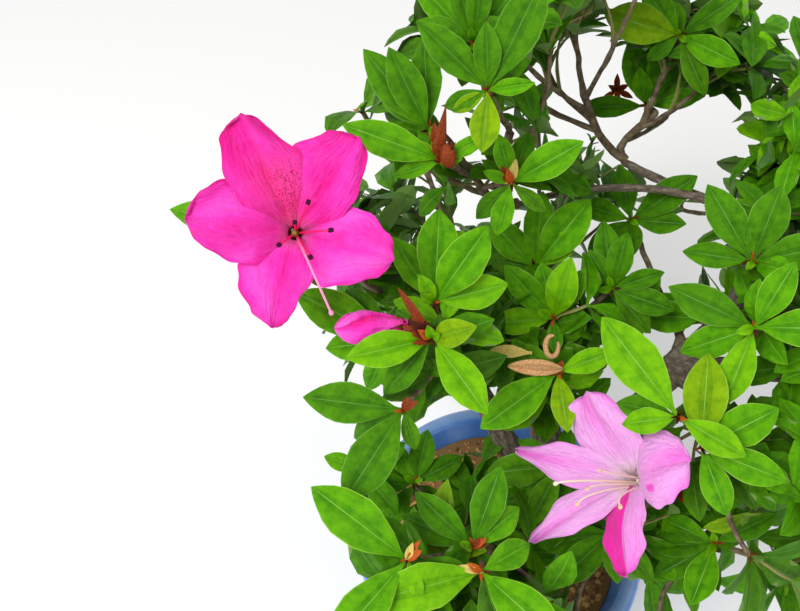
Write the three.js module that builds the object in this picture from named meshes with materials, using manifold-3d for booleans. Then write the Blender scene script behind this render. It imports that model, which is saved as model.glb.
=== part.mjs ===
// Azalea shrub in a round glazed pot: millimetres, +Z up, origin at the centre of the pot's underside.
// A short flared trunk forks into tapering boughs. Each bough ends where it enters a mass of foliage:
// a stem whose twigs end in whorls of leaves, with the blooms and the bud fused to their twigs.
import * as THREE from 'three';
import { mergeVertices } from 'three/addons/utils/BufferGeometryUtils.js';
import Module from 'manifold-3d';

const wasm = await Module();
wasm.setup();

// Driving dimensions
const GAP = 0.3;
const POT = { height: 105, rim: 70, base: 48, wall: 6, lip: 9, lipDepth: 15, floor: 7, sides: 24 };
const DRAIN = { count: 3, radius: 4.5, ring: 27 };
const SOIL = { level: 94, edge: 90.5, flat: 44 };
const TRUNK = {
  from: [16, -20, 88], through: [17, -15, 128], to: [13, -6, 168], foot: 9.5, tip: 8, sides: 15, rings: 6,
};
const FLARE = { reach: 0.2, spread: 0.65, roots: 5, depth: 0.17 };
const CROWN_HEART = [12, 42, 215];
const BRIGHT_SIDE = [-49, -149, 511];
const TWELVE_O_CLOCK = [0, 0.82, 0.57];
const LIMB = { sides: 6, rings: 4 };
const STEM = { root: 2.1, tip: 1.7, sides: 4, rings: 3 };
const TWIG = { root: 1.6, tip: 1.15, sides: 3, rings: 2 };
const TWIG_ROUNDNESS = [0.45, 0.25, 0.65, 0.05, 0.85];
const WHORL = { knob: 2.2, clockSpread: 24, lift: 8, liftSpread: 30, outwardSpread: 0.8, rise: 0.44 };
const MASS = { reach: 85, heart: 0.45, stalkFrom: 0.9, twigsFrom: 0.6 };
const SEED = { first: 11, step: 7 };
const LEAF = { length: 26, spare: 4, width: 0.47, thick: 0.9, fold: 0.05, widest: 0.5, sunk: 0.4 };
const LOBE = { thick: 1.1, waist: 0.42, widest: 0.72, tip: 0.12, curl: 3, sunk: 4 };
const FUNNEL = { length: 20, neck: 1.6, mouth: 5.2, past: 1.5, overlap: 2, sides: 6, rings: 4 };
const BUD = { end: 1.2, swell: 4.6, sides: 6, rings: 5 };

const COLOURS = {
  pot: 0x4a7fcb, soil: 0x8a6248, bark: 0x7d6a5c, leaf: 0x4ca80f,
};

// Boughs: where each leaves the wood that carries it, one point it passes, and where it ends
const BOUGHS = {
  bough_right: { from: [15, -9, 158], through: [40, 8, 188], to: [66, 32, 221], root: 7.2, tip: 5.6 },
  bough_left: { from: [14, -9, 160], through: [-9, 4, 205], to: [-26, 12, 250], root: 5.6, tip: 3.6 },
  bough_front: { from: [15, -12, 152], through: [-2, -33, 188], to: [-18, -48, 222], root: 5, tip: 3.4 },
  bough_middle: { from: [13, -7, 164], through: [12, 8, 198], to: [8, 20, 226], root: 5.4, tip: 3.4 },
  bough_right_low: { from: [17, -13, 140], through: [44, -20, 160], to: [64, -32, 178], root: 4.2, tip: 3.2 },
  bough_left_low: { from: [17, -14, 134], through: [-10, -10, 150], to: [-34, -8, 164], root: 4, tip: 3 },
  bough_rear_low: { from: [15, -10, 148], through: [12, 34, 172], to: [2, 74, 188], root: 4.8, tip: 3.4 },
  bough_front_right: { from: [30, 0, 176], through: [36, -20, 192], to: [36, -32, 208], root: 3.8, tip: 3.1 },
  bough_right_upper: { from: [64, 30, 219], through: [88, 52, 238], to: [92, 84, 250], root: 5.2, tip: 4.4 },
  bough_right_far: { from: [62, 28, 216], through: [88, 20, 226], to: [106, 12, 234], root: 4.6, tip: 3.4 },
  bough_right_front: { from: [60, 27, 214], through: [72, 4, 226], to: [68, -14, 238], root: 3.8, tip: 3 },
  bough_cross: { from: [92, 80, 249], through: [45, 86, 258], to: [-4, 73, 262], root: 3.8, tip: 3 },
  bough_rear: { from: [92, 82, 247], through: [66, 96, 248], to: [44, 105, 254], root: 3.6, tip: 3.1 },
};

// Blooms: five lobes, each by its clock angle as seen from the front, its length and its width
const OPEN_LOBES = [[334, 39, 25], [34, 35, 24], [102, 33, 24], [192, 31, 23], [278, 34, 25]];
const OBLIQUE_LOBES = [[348, 35, 20], [74, 38, 26], [160, 41, 18], [232, 39, 17], [283, 39, 17]];
const EVEN_LOBES = [[0, 34, 24], [72, 33, 24], [144, 32, 23], [216, 32, 23], [288, 33, 24]];

// Masses of foliage: the bough that carries each, and its whorls. A whorl that lists its leaves gives
// each one's clock angle, length and lift towards the front; any other whorl grows by the seeded rule.
const MASSES = {
  mass_left_front: {
    bough: 'bough_left',
    whorls: [
      { at: [-39, -6, 289], leaves: [[257, 28, 18], [144, 29, 14], [75, 21, 50], [221, 24, -12]] },
      { at: [-38, 7, 290], leaves: [[35, 30, 16], [76, 24, 4], [327, 25, 6], [3, 30, -4], [22, 26, -14]] },
      { at: [-52, 2, 276], leaves: [[296, 35, 4], [262, 22, -8], [205, 20, -20], [318, 24, -18]] },
      { at: [-48, -25, 278], leaves: [[277, 31, 8], [213, 33, 10], [240, 20, -26]] },
    ],
    buds: [{ at: [-47, -3, 291], clock: 266, length: 24, lift: 12 }],
  },
  mass_bloom_left: {
    bough: 'bough_left',
    whorls: [
      { at: [-84, 30, 296], leaves: [[278, 38, -16], [302, 24, -34], [150, 24, -30], [40, 26, -40]] },
      { at: [-72, 40, 272], leaves: 6 },
    ],
    blooms: [{ at: [-80, 13, 317], faces: [0.12, -0.64, 0.76], lobes: OPEN_LOBES, lift: 22 }],
  },
  mass_front_low: {
    bough: 'bough_front',
    whorls: [
      { at: [-25, -69, 259], leaves: [[254, 34, 16], [130, 31, 10], [160, 20, -30], [60, 20, -30]] },
      { at: [-26, -57, 246], leaves: [[312, 25, 10], [20, 27, 10], [292, 25, -6], [50, 20, -10]] },
      { at: [-47, -68, 267], leaves: [[306, 35, 14], [222, 35, 6], [186, 24, -20]] },
      { at: [-2, -66, 226], leaves: 6 },
    ],
  },
  mass_front_left_low: {
    bough: 'bough_front',
    whorls: [
      { at: [-50, -64, 226], leaves: 6 },
      { at: [-28, -82, 214], leaves: 6 },
    ],
  },
  mass_top: {
    bough: 'bough_cross',
    whorls: [
      { at: [-22, 54, 336], leaves: [[314, 30, 16], [358, 21, 22], [27, 36, 10], [83, 16, 30]] },
      { at: [-25, 81, 333], leaves: [[316, 28, 4], [345, 22, 14], [8, 24, 20], [40, 26, 2]] },
      { at: [2, 88, 322], leaves: 6 },
    ],
  },
  mass_top_left: {
    bough: 'bough_cross',
    whorls: [
      { at: [-40, 50, 323], leaves: [[321, 32, 12], [334, 29, 20], [357, 28, 0], [312, 22, -22]] },
      { at: [-36, 41, 319], leaves: [[290, 33, 14], [252, 16, 10], [62, 16, 6]] },
      { at: [-11, 52, 297], leaves: [[61, 28, 16], [346, 17, 0], [130, 16, -10]] },
      { at: [-62, 78, 305], leaves: 5 },
      { at: [-44, 96, 300], leaves: 5 },
    ],
  },
  mass_middle_front: {
    bough: 'bough_middle',
    whorls: [
      { at: [7, 25, 254], leaves: [[266, 24, 10], [318, 27, 14], [32, 22, 16], [16, 26, 30], [348, 22, 20]] },
      { at: [5, -1, 260], leaves: [[233, 33, 12], [171, 21, 14], [69, 21, 16], [300, 18, -16]] },
      { at: [-14, 20, 236], leaves: 5 },
    ],
  },
  mass_middle_rear: {
    bough: 'bough_middle',
    whorls: [
      { at: [3, 51, 251], leaves: [[6, 30, 18], [39, 33, 10], [317, 25, 10], [50, 22, 20], [280, 20, -16]] },
      { at: [31, 40, 252], leaves: [[15, 23, 20], [353, 26, 6], [330, 18, 20], [72, 20, 10]] },
    ],
  },
  mass_front_right: {
    bough: 'bough_front_right',
    whorls: [
      { at: [27, -41, 216], leaves: [[256, 27, 8], [226, 28, 12], [175, 20, 30], [140, 22, -12]] },
      { at: [9, -20, 226], leaves: [[207, 25, 10], [262, 27, 4], [240, 24, -20], [300, 18, -10]] },
      { at: [12, -74, 204], leaves: 5 },
    ],
    blooms: [{ at: [29, -35, 248], faces: [-0.76, -0.17, 0.63], lobes: OBLIQUE_LOBES, lift: 33 }],
  },
  mass_right_front: {
    bough: 'bough_right_front',
    whorls: [
      { at: [36, -28, 279], leaves: [[323, 38, 8], [260, 17, 4], [281, 20, -16], [120, 22, 0]] },
      { at: [46, -32, 266], leaves: [[4, 30, 12], [60, 26, 6], [110, 26, 2], [160, 22, -4]] },
      { at: [80, -40, 250], leaves: 6 },
      { at: [66, -56, 236], leaves: 5 },
    ],
  },
  mass_right: {
    bough: 'bough_right_far',
    whorls: [
      { at: [62, -2, 289], leaves: [[297, 29, 12], [250, 24, -6], [200, 26, 4], [90, 27, 8], [30, 24, 16]] },
      { at: [66, 22, 292], leaves: [[332, 29, 8], [280, 22, 0], [20, 26, 14], [80, 26, 10]] },
      { at: [92, -8, 280], leaves: 6 },
      { at: [98, 28, 284], leaves: 6 },
    ],
  },
  mass_right_low: {
    bough: 'bough_right_low',
    whorls: [
      { at: [66, -42, 207], leaves: [[291, 22, 6], [262, 24, 10], [236, 26, 4], [200, 24, 8], [60, 24, 0]] },
      { at: [46, -68, 194], leaves: 5 },
      { at: [88, -52, 206], leaves: 5 },
      { at: [84, -26, 192], leaves: 5 },
    ],
  },
  mass_inner: {
    bough: 'bough_right',
    whorls: [
      { at: [44, 45, 227], leaves: [[37, 20, 10], [92, 27, 12], [75, 23, 0], [165, 16, 30], [310, 20, -10]] },
      { at: [49, 88, 236], leaves: [[349, 24, 12], [57, 32, 10], [96, 23, 14], [178, 20, 40]] },
    ],
  },
  mass_rear_right_top: {
    bough: 'bough_rear',
    whorls: [
      { at: [57, 132, 260], leaves: [[272, 28, 6], [82, 24, 4], [352, 22, 44], [50, 26, 0]] },
      { at: [58, 122, 304], leaves: [[200, 34, 10], [120, 26, 20], [60, 26, 10], [300, 24, 12]] },
      { at: [84, 134, 286], leaves: 5 },
      { at: [80, 150, 250], leaves: 5 },
    ],
  },
  mass_rear_top: {
    bough: 'bough_rear',
    whorls: [
      { at: [14, 122, 326], leaves: 5 },
      { at: [32, 104, 334], leaves: 5 },
      { at: [-10, 116, 322], leaves: 5 },
      { at: [14, 152, 276], leaves: 5 },
      { at: [-18, 140, 292], leaves: 5 },
    ],
  },
  mass_rear: {
    bough: 'bough_rear_low',
    whorls: [
      { at: [18, 168, 222], leaves: 5 },
      { at: [46, 158, 212], leaves: 5 },
      { at: [-8, 150, 236], leaves: 5 },
      { at: [24, 130, 190], leaves: 5 },
      { at: [60, 130, 204], leaves: 5 },
    ],
  },
  mass_rear_left: {
    bough: 'bough_rear_low',
    whorls: [
      { at: [-49, 111, 226], leaves: 5 },
      { at: [-70, 74, 246], leaves: 5 },
      { at: [-28, 130, 210], leaves: 5 },
      { at: [-44, 96, 190], leaves: 5 },
    ],
    blooms: [{ at: [-54, 138, 262], faces: [-0.45, 0.6, 0.66], lobes: EVEN_LOBES, lift: 25 }],
  },
  mass_left_low: {
    bough: 'bough_left_low',
    whorls: [
      { at: [-43, -12, 192], leaves: [[266, 24, 8], [326, 22, 8], [14, 22, 14], [62, 22, 6], [215, 24, 6]] },
      { at: [-64, -14, 209], leaves: [[290, 20, 10], [200, 24, 0], [60, 20, 10], [140, 22, -4]] },
      { at: [-20, -15, 184], leaves: [[262, 20, 10], [215, 20, 0], [32, 20, 14], [330, 20, 10]] },
      { at: [-34, -42, 184], leaves: 5 },
    ],
  },
  mass_left_rear_low: {
    bough: 'bough_rear_low',
    whorls: [
      { at: [-50, 48, 192], leaves: 5 },
      { at: [-66, 52, 218], leaves: 5 },
      { at: [-22, 84, 172], leaves: 5 },
    ],
  },
  mass_right_far: {
    bough: 'bough_right_far',
    whorls: [
      { at: [134, 10, 262], leaves: 5 },
      { at: [140, 30, 236], leaves: 5 },
      { at: [132, -16, 236], leaves: 5 },
      { at: [122, 4, 212], leaves: 5 },
      { at: [114, -36, 248], leaves: 5 },
    ],
    blooms: [{ at: [128, -12, 268], faces: [0.5, -0.4, 0.77], lobes: EVEN_LOBES, lift: 25 }],
  },
  mass_right_rear: {
    bough: 'bough_right_upper',
    whorls: [
      { at: [124, 74, 276], leaves: 5 },
      { at: [132, 92, 246], leaves: 5 },
      { at: [112, 116, 262], leaves: 5 },
      { at: [98, 62, 300], leaves: 5 },
      { at: [104, 98, 292], leaves: 5 },
    ],
  },
  mass_right_rear_low: {
    bough: 'bough_right_upper',
    whorls: [
      { at: [112, 62, 204], leaves: 5 },
      { at: [106, 96, 212], leaves: 5 },
      { at: [84, 120, 212], leaves: 5 },
    ],
  },
};

// Small helpers
const vec = (p) => new THREE.Vector3(...p);
const radians = THREE.MathUtils.degToRad;

function seededNumbers(seed) {
  let state = seed >>> 0;
  return () => {
    state = (Math.imul(state, 1664525) + 1013904223) >>> 0;
    return state / 4294967296;
  };
}

// A curve through three points that passes the middle one halfway
function bend({ from, through, to }) {
  const [a, m, b] = [vec(from), vec(through), vec(to)];
  const control = m.clone().multiplyScalar(2).addScaledVector(a, -0.5).addScaledVector(b, -0.5);
  return new THREE.QuadraticBezierCurve3(a, control, b);
}

function solidOf(positions, triangles) {
  const vertProperties = new Float32Array(positions);
  const triVerts = new Uint32Array(triangles);
  return new wasm.Manifold(new wasm.Mesh({ numProp: 3, vertProperties, triVerts }));
}

function solidFromGeometry(geometry) {
  const bare = geometry.clone();
  bare.deleteAttribute('normal');
  bare.deleteAttribute('uv');
  const merged = mergeVertices(bare, 1e-4);
  return solidOf(merged.attributes.position.array, merged.index.array);
}

// A closed tapering limb along a curve, with rings of points and flat ends
function limb(curve, radiusAt, sides, rings) {
  const frames = curve.computeFrenetFrames(rings, false);
  const positions = [];
  const triangles = [];
  for (let k = 0; k <= rings; k += 1) {
    const centre = curve.getPointAt(k / rings);
    for (let i = 0; i < sides; i += 1) {
      const angle = (2 * Math.PI * i) / sides;
      const radius = radiusAt(k / rings, angle);
      const point = centre.clone()
        .addScaledVector(frames.normals[k], radius * Math.cos(angle))
        .addScaledVector(frames.binormals[k], radius * Math.sin(angle));
      positions.push(point.x, point.y, point.z);
    }
  }
  for (let k = 0; k < rings; k += 1) {
    for (let i = 0; i < sides; i += 1) {
      const [a, b] = [k * sides + i, k * sides + ((i + 1) % sides)];
      triangles.push(a, b, b + sides, a, b + sides, a + sides);
    }
  }
  const last = rings * sides;
  for (let i = 1; i < sides - 1; i += 1) {
    triangles.push(0, i + 1, i, last, last + i, last + i + 1);
  }
  return solidOf(positions, triangles);
}

const taper = (root, tip) => (t) => root + (tip - root) * t;

// A thin plate: a ring of points with one point raised above it and one below
function plate(ring, top, bottom) {
  const positions = [...ring, top, bottom].flatMap((p) => [p.x, p.y, p.z]);
  const [n, triangles] = [ring.length, []];
  for (let i = 0; i < n; i += 1) {
    const j = (i + 1) % n;
    triangles.push(n, i, j, n + 1, j, i);
  }
  return solidOf(positions, triangles);
}

// Pot, soil and trunk
function potSolid() {
  const { height, rim, base, wall, lip, lipDepth, floor, sides } = POT;
  const shoulder = rim - 5;
  const profile = [
    [0, 0], [base - 2, 0], [base, 2], [shoulder - 1, height - lipDepth], [rim - 1.5, height - lipDepth + 1.5],
    [rim, height - lipDepth + 5], [rim, height - 4], [rim - 3, height - 0.5], [rim - lip + 3, height],
    [rim - lip, height - 3], [base - wall, floor], [0, floor],
  ].map(([x, y]) => new THREE.Vector2(x, y));
  const body = new THREE.LatheGeometry(profile, sides).rotateX(Math.PI / 2);
  let pot = solidFromGeometry(body);
  for (let k = 0; k < DRAIN.count; k += 1) {
    const angle = (2 * Math.PI * k) / DRAIN.count;
    const hole = new THREE.CylinderGeometry(DRAIN.radius, DRAIN.radius, 3 * floor, 10).rotateX(Math.PI / 2);
    hole.translate(DRAIN.ring * Math.cos(angle), DRAIN.ring * Math.sin(angle), 0);
    pot = pot.subtract(solidFromGeometry(hole));
  }
  return pot;
}

// The pot's inner radius at a height, which the soil follows
function innerRadius(z) {
  const [low, high] = [POT.base - POT.wall, POT.rim - POT.lip];
  return low + ((high - low) * (z - POT.floor)) / (POT.height - 3 - POT.floor);
}

function soilSolid() {
  const { level, edge, flat } = SOIL;
  const slack = GAP * 1.5;
  const profile = [
    [0, POT.floor], [innerRadius(POT.floor) - slack, POT.floor], [innerRadius(edge) - slack, edge],
    [flat + 8, level - 0.8], [flat, level], [0, level],
  ].map(([x, y]) => new THREE.Vector2(x, y));
  return solidFromGeometry(new THREE.LatheGeometry(profile, POT.sides).rotateX(Math.PI / 2));
}

function trunkRadius(grow) {
  return (t, angle) => {
    const flare = Math.exp(-t / FLARE.reach);
    const ridges = 1 + FLARE.depth * flare * Math.cos(FLARE.roots * angle);
    return (TRUNK.foot + (TRUNK.tip - TRUNK.foot) * t) * (1 + FLARE.spread * flare) * ridges + grow;
  };
}

function trunkSolid(grow) {
  const raw = limb(bend(TRUNK), trunkRadius(grow), TRUNK.sides, TRUNK.rings);
  return raw.trimByPlane([0, 0, 1], SOIL.level);
}

// Every limb keeps its solid, and a copy that is larger by the gap. The larger copies of limbs and
// stems cut whatever is carried by them or grows beside them.
const limbs = {};
const cutters = [];

function addLimb(name, solid, swollen, curve, tipRadius) {
  limbs[name] = { solid, curve, tipRadius };
  cutters.push({ owner: name, solid: swollen });
}

function largestBody(solid) {
  return solid.decompose().reduce((best, piece) => (piece.volume() > best.volume() ? piece : best));
}

function boxesMeet(a, b) {
  return [0, 1, 2].every((i) => a.min[i] <= b.max[i] && b.min[i] <= a.max[i]);
}

function cutClear(solid, owner) {
  let result = solid;
  for (const cutter of cutters) {
    if (cutter.owner === owner) break;
    if (boxesMeet(result.boundingBox(), cutter.solid.boundingBox())) result = result.subtract(cutter.solid);
  }
  return largestBody(result);
}

function growLimbs() {
  addLimb('trunk', trunkSolid(0), trunkSolid(GAP), bend(TRUNK), TRUNK.tip);
  for (const [name, bough] of Object.entries(BOUGHS)) {
    const curve = bend(bough);
    const solid = cutClear(limb(curve, taper(bough.root, bough.tip), LIMB.sides, LIMB.rings), name);
    const swollen = limb(curve, taper(bough.root + GAP, bough.tip + GAP), LIMB.sides, LIMB.rings);
    addLimb(name, solid, swollen, curve, bough.tip);
  }
}

// The front of a whorl or bloom: its axis, and the up and right of a person who faces it
function frontFrame(at, axis, twelve = [0, 0, 1]) {
  const up = vec(twelve);
  up.addScaledVector(axis, -up.dot(axis)).normalize();
  return { at, axis, up, right: new THREE.Vector3().crossVectors(up, axis) };
}

function facingLight(at) {
  return frontFrame(at, vec(BRIGHT_SIDE).sub(at).normalize(), TWELVE_O_CLOCK);
}

function facingOutward(at, chance) {
  const axis = at.clone().sub(vec(CROWN_HEART)).normalize();
  const [x, y, z] = [chance() - 0.5, chance() - 0.5, 0.3 * chance()];
  axis.addScaledVector(new THREE.Vector3(x, y, z), WHORL.outwardSpread).add(vec([0, 0, WHORL.rise]));
  return frontFrame(at, axis.normalize());
}

function direction(frame, clock, lift) {
  const [c, f] = [radians(clock), radians(lift)];
  return new THREE.Vector3()
    .addScaledVector(frame.up, Math.cos(f) * Math.cos(c))
    .addScaledVector(frame.right, Math.cos(f) * Math.sin(c))
    .addScaledVector(frame.axis, Math.sin(f));
}

// One leaf of eight faces: folded a little along its midrib, its root sunk behind the point it grows from
function leafSolid({ root, along, front, length, width }, grow) {
  const side = new THREE.Vector3().crossVectors(along, front).normalize();
  const face = new THREE.Vector3().crossVectors(side, along);
  const middle = root.clone().addScaledVector(along, length * LEAF.widest);
  const half = width / 2 + grow;
  const edge = (sign) => middle.clone()
    .addScaledVector(side, sign * half).addScaledVector(face, length * LEAF.fold);
  const ring = [
    root.clone().addScaledVector(along, -LEAF.sunk), edge(1),
    root.clone().addScaledVector(along, length + grow), edge(-1),
  ];
  const raise = (amount) => middle.clone().addScaledVector(face, amount);
  return plate(ring, raise(LEAF.thick / 2 + grow), raise(-LEAF.thick / 2 - grow));
}

function twigSolid(curve, grow) {
  return limb(curve, taper(TWIG.root + grow, TWIG.tip + grow), TWIG.sides, TWIG.rings);
}

// The swollen end of a twig, which the roots of a whorl's leaves stand in
function whorlKnob({ at, axis, up, right }) {
  const out = (way, amount) => at.clone().addScaledVector(way, amount * WHORL.knob);
  return plate([out(right, 1), out(up, 1), out(right, -1), out(up, -1)], out(axis, 1.2), out(axis, -1.2));
}

// A bloom: a solid funnel, and lobes that spread from its mouth
function lobeSolid(frame, [clock, length, width], lift) {
  const along = direction(frame, clock, lift);
  const side = new THREE.Vector3().crossVectors(along, frame.axis).normalize();
  const face = new THREE.Vector3().crossVectors(side, along);
  const at = (t, s, up) => frame.at.clone()
    .addScaledVector(along, length * t).addScaledVector(side, width * s).addScaledVector(face, up);
  const start = -LOBE.sunk / length;
  const ring = [
    at(start, 0, 0), at(LOBE.waist, 0.33, 1.5), at(LOBE.widest, 0.5, 0.8), at(1, LOBE.tip, -LOBE.curl),
    at(1, -LOBE.tip, -LOBE.curl), at(LOBE.widest, -0.5, 0.8), at(LOBE.waist, -0.33, 1.5),
  ];
  return plate(ring, at(0.55, 0, LOBE.thick / 2), at(0.55, 0, -LOBE.thick / 2));
}

function bloomPieces({ at, faces, lobes, lift }) {
  const frame = frontFrame(vec(at), vec(faces).normalize(), TWELVE_O_CLOCK);
  const back = frame.at.clone().addScaledVector(frame.axis, -FUNNEL.length);
  const front = frame.at.clone().addScaledVector(frame.axis, FUNNEL.past);
  const flare = (t) => FUNNEL.neck + (FUNNEL.mouth - FUNNEL.neck) * t * t;
  const funnel = limb(new THREE.LineCurve3(back, front), flare, FUNNEL.sides, FUNNEL.rings);
  const spread = lobes.map((lobe) => lobeSolid(frame, lobe, lift));
  return { pieces: [funnel, ...spread], foot: back, axis: frame.axis };
}

// A closed bud, pointed at both ends
function budSolid({ at, clock, length, lift }) {
  const frame = facingLight(vec(at));
  const along = direction(frame, clock, lift);
  const tip = frame.at.clone().addScaledVector(along, length);
  const radius = (t) => BUD.end + BUD.swell * Math.sin(Math.PI * (0.08 + 0.9 * t ** 1.4)) ** 0.8;
  return limb(new THREE.LineCurve3(frame.at, tip), radius, BUD.sides, BUD.rings);
}

// What stands already, so that every mass keeps to its own space
const placed = [];

function isFree(swollen, isOwn) {
  const box = swollen.boundingBox();
  return placed.every((piece) => isOwn(piece.label) || !boxesMeet(box, piece.box)
    || swollen.intersect(piece.solid).isEmpty());
}

function claim(solid, label) {
  placed.push({ label, solid, box: solid.boundingBox() });
  return solid;
}

// A leaf grows where it stays within reach of its mass and clear of all that isOwn doesn't excuse
function growLeaf(leaf, home, label, isOwn) {
  const tip = leaf.root.clone().addScaledVector(leaf.along, leaf.length);
  if (tip.distanceTo(home.heart) > MASS.reach || !isFree(leafSolid(leaf, GAP), isOwn)) return;
  home.pieces.push(claim(leafSolid(leaf, 0), label));
}

function growWhorl(frame, whorl, home, label, chance) {
  const listed = Array.isArray(whorl.leaves);
  const isOwn = listed ? (other) => other.startsWith(`${home.name} `) : (other) => other.startsWith(label);
  for (const [clock, length, lift] of listed ? whorl.leaves : seededLeaves(whorl.leaves, chance)) {
    const along = direction(frame, clock, lift);
    const width = length * LEAF.width * (0.92 + 0.16 * chance());
    growLeaf({ root: frame.at, along, front: frame.axis, length, width }, home, label, isOwn);
  }
}

function seededLeaves(count, chance) {
  const first = 360 * chance();
  return Array.from({ length: count }, (_, k) => [
    first + (360 * k) / count + WHORL.clockSpread * (chance() - 0.5),
    LEAF.length + LEAF.spare * (2 * chance() - 1),
    WHORL.lift + WHORL.liftSpread * chance(),
  ]);
}

// A twig arrives along its whorl's axis. Where its way is blocked, it tries a rounder one.
function growTwig(from, to, axis, home, label) {
  for (const roundness of TWIG_ROUNDNESS) {
    const control = to.clone().addScaledVector(axis, -roundness * from.distanceTo(to));
    const curve = new THREE.QuadraticBezierCurve3(from, control, to);
    if (isFree(twigSolid(curve, GAP), (other) => other.startsWith(`${home.name} `))) {
      home.pieces.push(claim(twigSolid(curve, 0), label));
      return true;
    }
  }
  return false;
}

// The stem of a mass starts inside its bough's tip, to the side that the mass lies on
function stemCurve(bough, heart) {
  const { curve, tipRadius } = limbs[bough];
  const tip = curve.getPoint(1);
  const along = curve.getTangent(1);
  const aside = heart.clone().sub(tip);
  aside.addScaledVector(along, -aside.dot(along)).normalize();
  const start = tip.clone().addScaledVector(along, -1).addScaledVector(aside, tipRadius - STEM.root);
  const control = start.clone().addScaledVector(along, 0.4 * start.distanceTo(heart));
  return new THREE.QuadraticBezierCurve3(start, control, heart);
}

function massHeart(mass) {
  const heart = new THREE.Vector3();
  for (const whorl of mass.whorls) heart.addScaledVector(vec(whorl.at), 1 / mass.whorls.length);
  return heart.lerp(limbs[mass.bough].curve.getPoint(1), MASS.heart);
}

// A mass begins with its stem, its blooms on their stalks and its buds
function startMass(name, mass) {
  const heart = massHeart(mass);
  const stem = stemCurve(mass.bough, heart);
  const home = { name, heart, stem, whorls: mass.whorls, pieces: [] };
  const keep = (solid, label) => home.pieces.push(claim(solid, `${name} ${label}`));
  const stemSolid = (grow) => limb(stem, taper(STEM.root + grow, STEM.tip + grow), STEM.sides, STEM.rings);
  keep(stemSolid(0), 'stem');
  cutters.push({ owner: name, solid: stemSolid(GAP) });
  for (const bloom of mass.blooms ?? []) {
    const { pieces, foot, axis } = bloomPieces(bloom);
    pieces.forEach((piece) => keep(piece, 'bloom'));
    const end = foot.addScaledVector(axis, FUNNEL.overlap);
    growTwig(stem.getPoint(MASS.stalkFrom), end, axis, home, `${name} stalk`);
  }
  for (const bud of mass.buds ?? []) keep(budSolid(bud), 'bud');
  return home;
}

function growWhorls(home, chance) {
  home.whorls.forEach((whorl, k) => {
    const at = vec(whorl.at);
    const frame = Array.isArray(whorl.leaves) ? facingLight(at) : facingOutward(at, chance);
    const label = `${home.name} whorl ${k}`;
    const start = home.stem.getPoint(1 - (MASS.twigsFrom * k) / home.whorls.length);
    if (!growTwig(start, at, frame.axis, home, label)) return;
    home.pieces.push(claim(whorlKnob(frame), label));
    growWhorl(frame, whorl, home, label, chance);
  });
}

// The exported group
const group = new THREE.Group();

function addMesh(name, solid, colour, roughness) {
  const { vertProperties, triVerts, numProp } = solid.getMesh();
  const geometry = new THREE.BufferGeometry();
  const positions = new Float32Array((vertProperties.length / numProp) * 3);
  for (let i = 0; i < positions.length; i += 1) {
    positions[i] = vertProperties[Math.floor(i / 3) * numProp + (i % 3)];
  }
  geometry.setAttribute('position', new THREE.BufferAttribute(positions, 3));
  geometry.setIndex(new THREE.BufferAttribute(new Uint32Array(triVerts), 1));
  geometry.computeVertexNormals();
  const finish = new THREE.MeshStandardMaterial({ color: colour, roughness, metalness: 0 });
  const mesh = new THREE.Mesh(geometry, finish);
  mesh.name = name;
  group.add(mesh);
}

addMesh('pot', potSolid(), COLOURS.pot, 0.25);
addMesh('soil', soilSolid(), COLOURS.soil, 0.95);
growLimbs();
for (const [name, { solid }] of Object.entries(limbs)) {
  addMesh(name, solid, COLOURS.bark, 0.85);
  claim(solid, name);
}
const homes = Object.entries(MASSES).map(([name, mass]) => startMass(name, mass));
homes.forEach((home, k) => {
  growWhorls(home, seededNumbers(SEED.first + SEED.step * k));
  addMesh(home.name, cutClear(wasm.Manifold.union(home.pieces), home.name), COLOURS.leaf, 0.45);
});

export default group;
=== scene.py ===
# %% [markdown]
# # Azalea shrub in a glazed pot
# A short trunk and thirteen boughs stand in a round blue pot and carry leafy twigs, four blooms
# and a bud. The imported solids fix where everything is. This lesson grows the same shrub again over
# them, by the same rule but finer: barked wood, thin twigs, real leaves and soft petals.

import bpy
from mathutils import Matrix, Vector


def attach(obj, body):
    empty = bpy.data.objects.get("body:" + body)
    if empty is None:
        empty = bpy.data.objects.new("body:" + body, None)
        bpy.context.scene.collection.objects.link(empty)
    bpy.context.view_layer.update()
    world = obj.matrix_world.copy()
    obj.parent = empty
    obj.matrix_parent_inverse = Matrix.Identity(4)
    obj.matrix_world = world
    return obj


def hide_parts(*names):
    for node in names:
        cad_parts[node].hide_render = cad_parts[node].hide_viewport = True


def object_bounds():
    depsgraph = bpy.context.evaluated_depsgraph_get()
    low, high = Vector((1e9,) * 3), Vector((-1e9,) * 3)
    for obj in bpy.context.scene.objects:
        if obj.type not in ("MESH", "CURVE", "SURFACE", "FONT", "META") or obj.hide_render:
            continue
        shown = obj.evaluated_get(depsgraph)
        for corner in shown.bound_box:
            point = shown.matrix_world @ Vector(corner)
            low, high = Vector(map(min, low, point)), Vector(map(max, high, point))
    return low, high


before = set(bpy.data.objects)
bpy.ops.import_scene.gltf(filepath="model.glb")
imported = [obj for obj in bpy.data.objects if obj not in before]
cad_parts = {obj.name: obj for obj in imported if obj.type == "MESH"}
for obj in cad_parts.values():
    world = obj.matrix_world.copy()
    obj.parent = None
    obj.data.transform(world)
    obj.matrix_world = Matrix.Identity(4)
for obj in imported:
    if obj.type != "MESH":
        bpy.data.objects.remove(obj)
cad_low, cad_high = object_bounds()
print("solids:", len(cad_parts), "from", tuple(cad_low), "to", tuple(cad_high))

# %% Tools of the lesson
import functools
import itertools
import math

import bpy
import numpy as np
from mathutils import Vector, kdtree, noise
from mathutils.bvhtree import BVHTree

MM = 0.001  # every size below is in millimetres, and becomes metres where a mesh is made


def unit(vector):
    return vector / np.linalg.norm(vector)


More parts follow.
